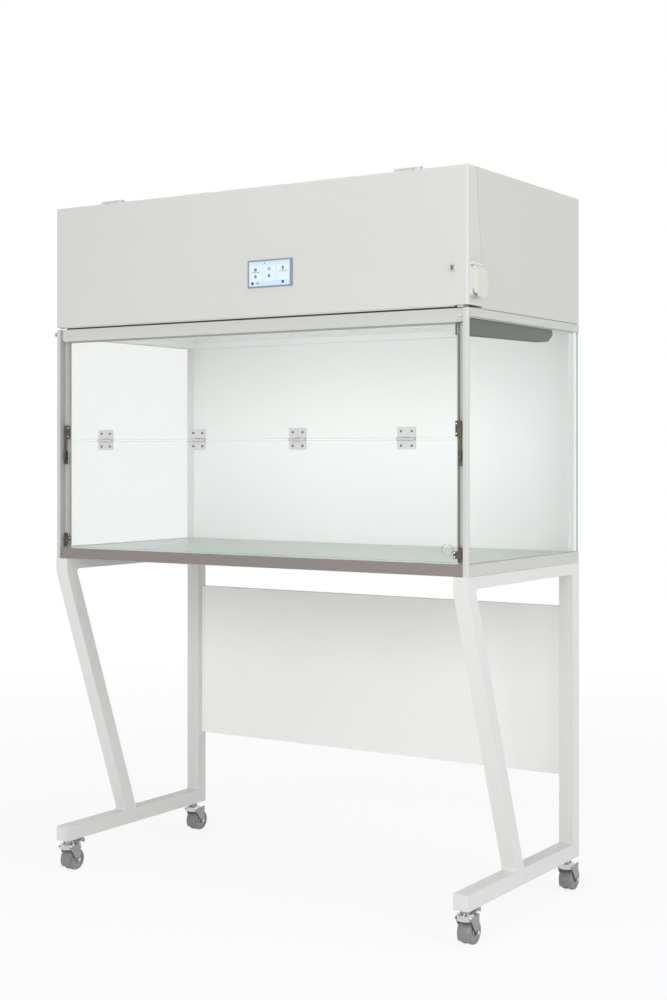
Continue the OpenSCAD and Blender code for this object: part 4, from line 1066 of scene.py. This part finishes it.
class HOOD_OT_display(bpy.types.Operator):
    """Builds the display with its plain tiles and round marks"""

    bl_idname = "hood.display"
    bl_label = "Display"

    def execute(self, context):
        copies([("display_bezel", "display_frame", "cover", "bezel", "bezel", 0.0006, 0.0020, 3)])
        dress(["display_screen"], "screen")
        low, high = corners("display_screen")
        centre, half = (low + high) / 2, (high - low) / 2
        thin, edge = 0.0003, 0.0001

        def mark(kind, across, up, *size):
            """A thin mark on the screen at a share of its half width and half height."""
            spot = (centre[0] + across * half[0], low[1] + 0.00002, centre[2] + up * half[2])
            return kind(*size).at(spot, FORWARD)

        cards = [
            mark(tile, x, z, 0.0385, h, 0.0012, 0.00012, 0.00005)
            for x in (-0.655, 0.0, 0.655)
            for z, h in ((0.36, 0.0205), (-0.30, 0.0195))
        ]
        marks = [
            mark(disc, x, z, r, thin, edge)
            for x, z, r in (
                (-0.68, 0.34, 0.0036), (-0.68, -0.22, 0.0040), (-0.01, 0.37, 0.0022), (-0.01, -0.20, 0.0040),
                (0.66, 0.43, 0.0036), (-0.23, 0.85, 0.0020),
            )
        ]
        rings = ((-0.01, 0.37, 0.0012), (-0.68, 0.34, 0.0007))
        marks += [mark(ring, x, z, 0.0050, width, thin) for x, z, width in rings]
        marks += [
            mark(tile, x, z, w, h, r, thin, edge)
            for x, z, w, h, r in (
                (0.66, 0.30, 0.0046, 0.0052, 0.0010), (-0.68, -0.10, 0.0026, 0.0050, 0.0008),
                (-0.01, -0.08, 0.0026, 0.0050, 0.0008),
            )
        ]
        keys = [mark(disc, x, z, 0.0040, thin, edge) for x, z in ((-0.83, -0.76), (0.66, -0.74))]
        bars = [
            mark(tile, x, z, w, h, 0.0008, thin, edge)
            for x, z, w, h in (
                (-0.68, 0.13, 0.026, 0.0026), (0.66, 0.13, 0.026, 0.0026), (-0.57, -0.76, 0.010, 0.0060),
            )
        ]
        for name, shapes, material in (
            ("cards", cards, "screen card"),
            ("marks", marks, "slate mark"),
            ("keys", keys, "navy mark"),
            ("bars", bars, "green mark"),
        ):
            piece(f"display_{name}", joined(shapes), material, "cover", "screen")
        return {"FINISHED"}


class HOOD_OT_window(bpy.types.Operator):
    """Builds the sash rail, the two panes, their hinges, the pivots and the catches"""

    bl_idname = "hood.window"
    bl_label = "Window"

    def execute(self, context):
        s = sizes()
        copies([("sash_rail", "sash_top_rail", "upper_sash", "cabinet_paint", "rail paint", 0.0005, 0.0008)])
        low, high = corners("sash_top_rail")
        end, depth = np.array((high[0] - 0.0067, low[1] + 2 * SUNK, high[2] - 0.0125)), 0.0042
        cap = joined([
            tile(0.0125, 0.017, 0.0025, depth, 0.0012).at(end, FORWARD),
            cross_head(s.screw * 0.8, 0.0015).at(end - (0, depth - SUNK, 0), FORWARD),
        ])
        piece("sash_end_cap", cap, "cream plastic", "upper_sash", "cream_plastic")
        glass = corners("upper_pane")[0][1]
        # The dark seal under the sash rail is also painted shade: it stands for the shadow line under the
        # rail.
        seal = tile(2 * (HALF - 0.037), 0.005, 0.0012, 0.0023, 0.0009)
        seal = seal.at((MID, glass + 0.00005, low[2] - 0.0024), FORWARD)
        piece("sash_seal_and_shade", seal, "window seal", "upper_sash", "cap_plastic")
        for part in ("upper", "lower"):
            sheet_of_glass(f"window_{part}", f"{part}_pane", f"{part}_sash", "window_glass", 1)
        for part in ("upper", "lower"):
            # The rounded edges of the hinge leaves take the dark screw finish: painted shade along their
            # borders.
            rounded_copy(
                f"hinge_leaves_{part}", f"window_hinge_{part}_leaves", f"{part}_sash", "hardware_steel",
                ["bright steel", "dark screw"], 0.0007, bevel_slot=1,
            )
        copies([
            ("strikers_mid", "upper_strikers", "upper_sash", "hardware_steel", "aged metal", 0.0003),
            ("strikers_low", "lower_strikers", "lower_sash", "brass", "aged metal", 0.0003),
            ("catches", "catch_bodies", "cabinet", "brass", "aged metal", 0.0004),
            ("stop_block", "sash_stop_block", "cabinet", "cream_plastic", "cream plastic", 0.0008),
        ])
        dress(["catch_balls"], "chrome")
        dress(["window_hinge_pins", "sash_pivot_pins"], "satin steel")
        row = corners("window_hinge_upper_leaves")[1][2] - 0.010
        top = corners("upper_strikers")[1][2]
        self.screws(s, "upper", glass, row, 0.0142, (top - 0.007, top - 0.031))
        row = corners("window_hinge_lower_leaves")[0][2] + 0.009
        middle = sum(corner[2] for corner in corners("lower_strikers")) / 2
        self.screws(s, "lower", glass, row, 0.0195, (middle - 0.005, middle + 0.005))
        return {"FINISHED"}

    def screws(self, s, part, glass, row, inset, rows):
        """A sash's screws: two in each hinge leaf, at height row, and two in each striker, at rows."""
        hinges = [MID + (i - 1.5) * s.hinge_pitch for i in range(4)]
        leaves = [(x + dx, glass - 0.0015, row) for x in hinges for dx in (-0.015, 0.015)]
        low, high = corners(f"{part}_strikers")
        strikers = [(x, low[1] + SUNK, z) for x in (low[0] + inset, high[0] - inset) for z in rows]
        for name, head, places, material in (
            ("window_screws", cross_head(s.screw, 0.0018), leaves, "dark screw"),
            ("striker_screws", cross_head(s.screw * 0.75, 0.0015), strikers, "chrome"),
        ):
            shape = heads(head, places, FORWARD)
            piece(f"{name}_{part}", shape, material, f"{part}_sash", "hardware_steel")


OPERATORS = (
    HOOD_OT_stage, HOOD_OT_stand, HOOD_OT_casters, HOOD_OT_cabinet,
    HOOD_OT_housing, HOOD_OT_cover, HOOD_OT_display, HOOD_OT_window,
)


class HOOD_PT_panel(bpy.types.Panel):
    """Lists the sizes, the colours and the pieces of the hood"""

    bl_idname = "HOOD_PT_panel"
    bl_label = "Laminar flow hood"
    bl_space_type = "VIEW_3D"
    bl_region_type = "UI"
    bl_category = "Hood"

    def draw(self, context):
        layout = self.layout
        for group in (context.scene.hood_sizes, context.scene.hood_colours, context.scene.hood_stage):
            column = layout.column(align=True)
            for name in group.__annotations__:
                column.prop(group, name)
        for operator in OPERATORS:
            layout.operator(operator.bl_idname)


CLASSES = (HoodSizes, HoodColours, HoodStage) + OPERATORS + (HOOD_PT_panel,)


def register():
    for cls in CLASSES:
        bpy.utils.register_class(cls)
    bpy.types.Scene.hood_sizes = PointerProperty(type=HoodSizes)
    bpy.types.Scene.hood_colours = PointerProperty(type=HoodColours)
    bpy.types.Scene.hood_stage = PointerProperty(type=HoodStage)


def unregister():
    del bpy.types.Scene.hood_sizes, bpy.types.Scene.hood_colours, bpy.types.Scene.hood_stage
    for cls in reversed(CLASSES):
        bpy.utils.unregister_class(cls)


def main():
    register()
    for operator in OPERATORS:
        group, name = operator.bl_idname.split(".")
        getattr(getattr(bpy.ops, group), name)()


if __name__ == "__main__":
    main()
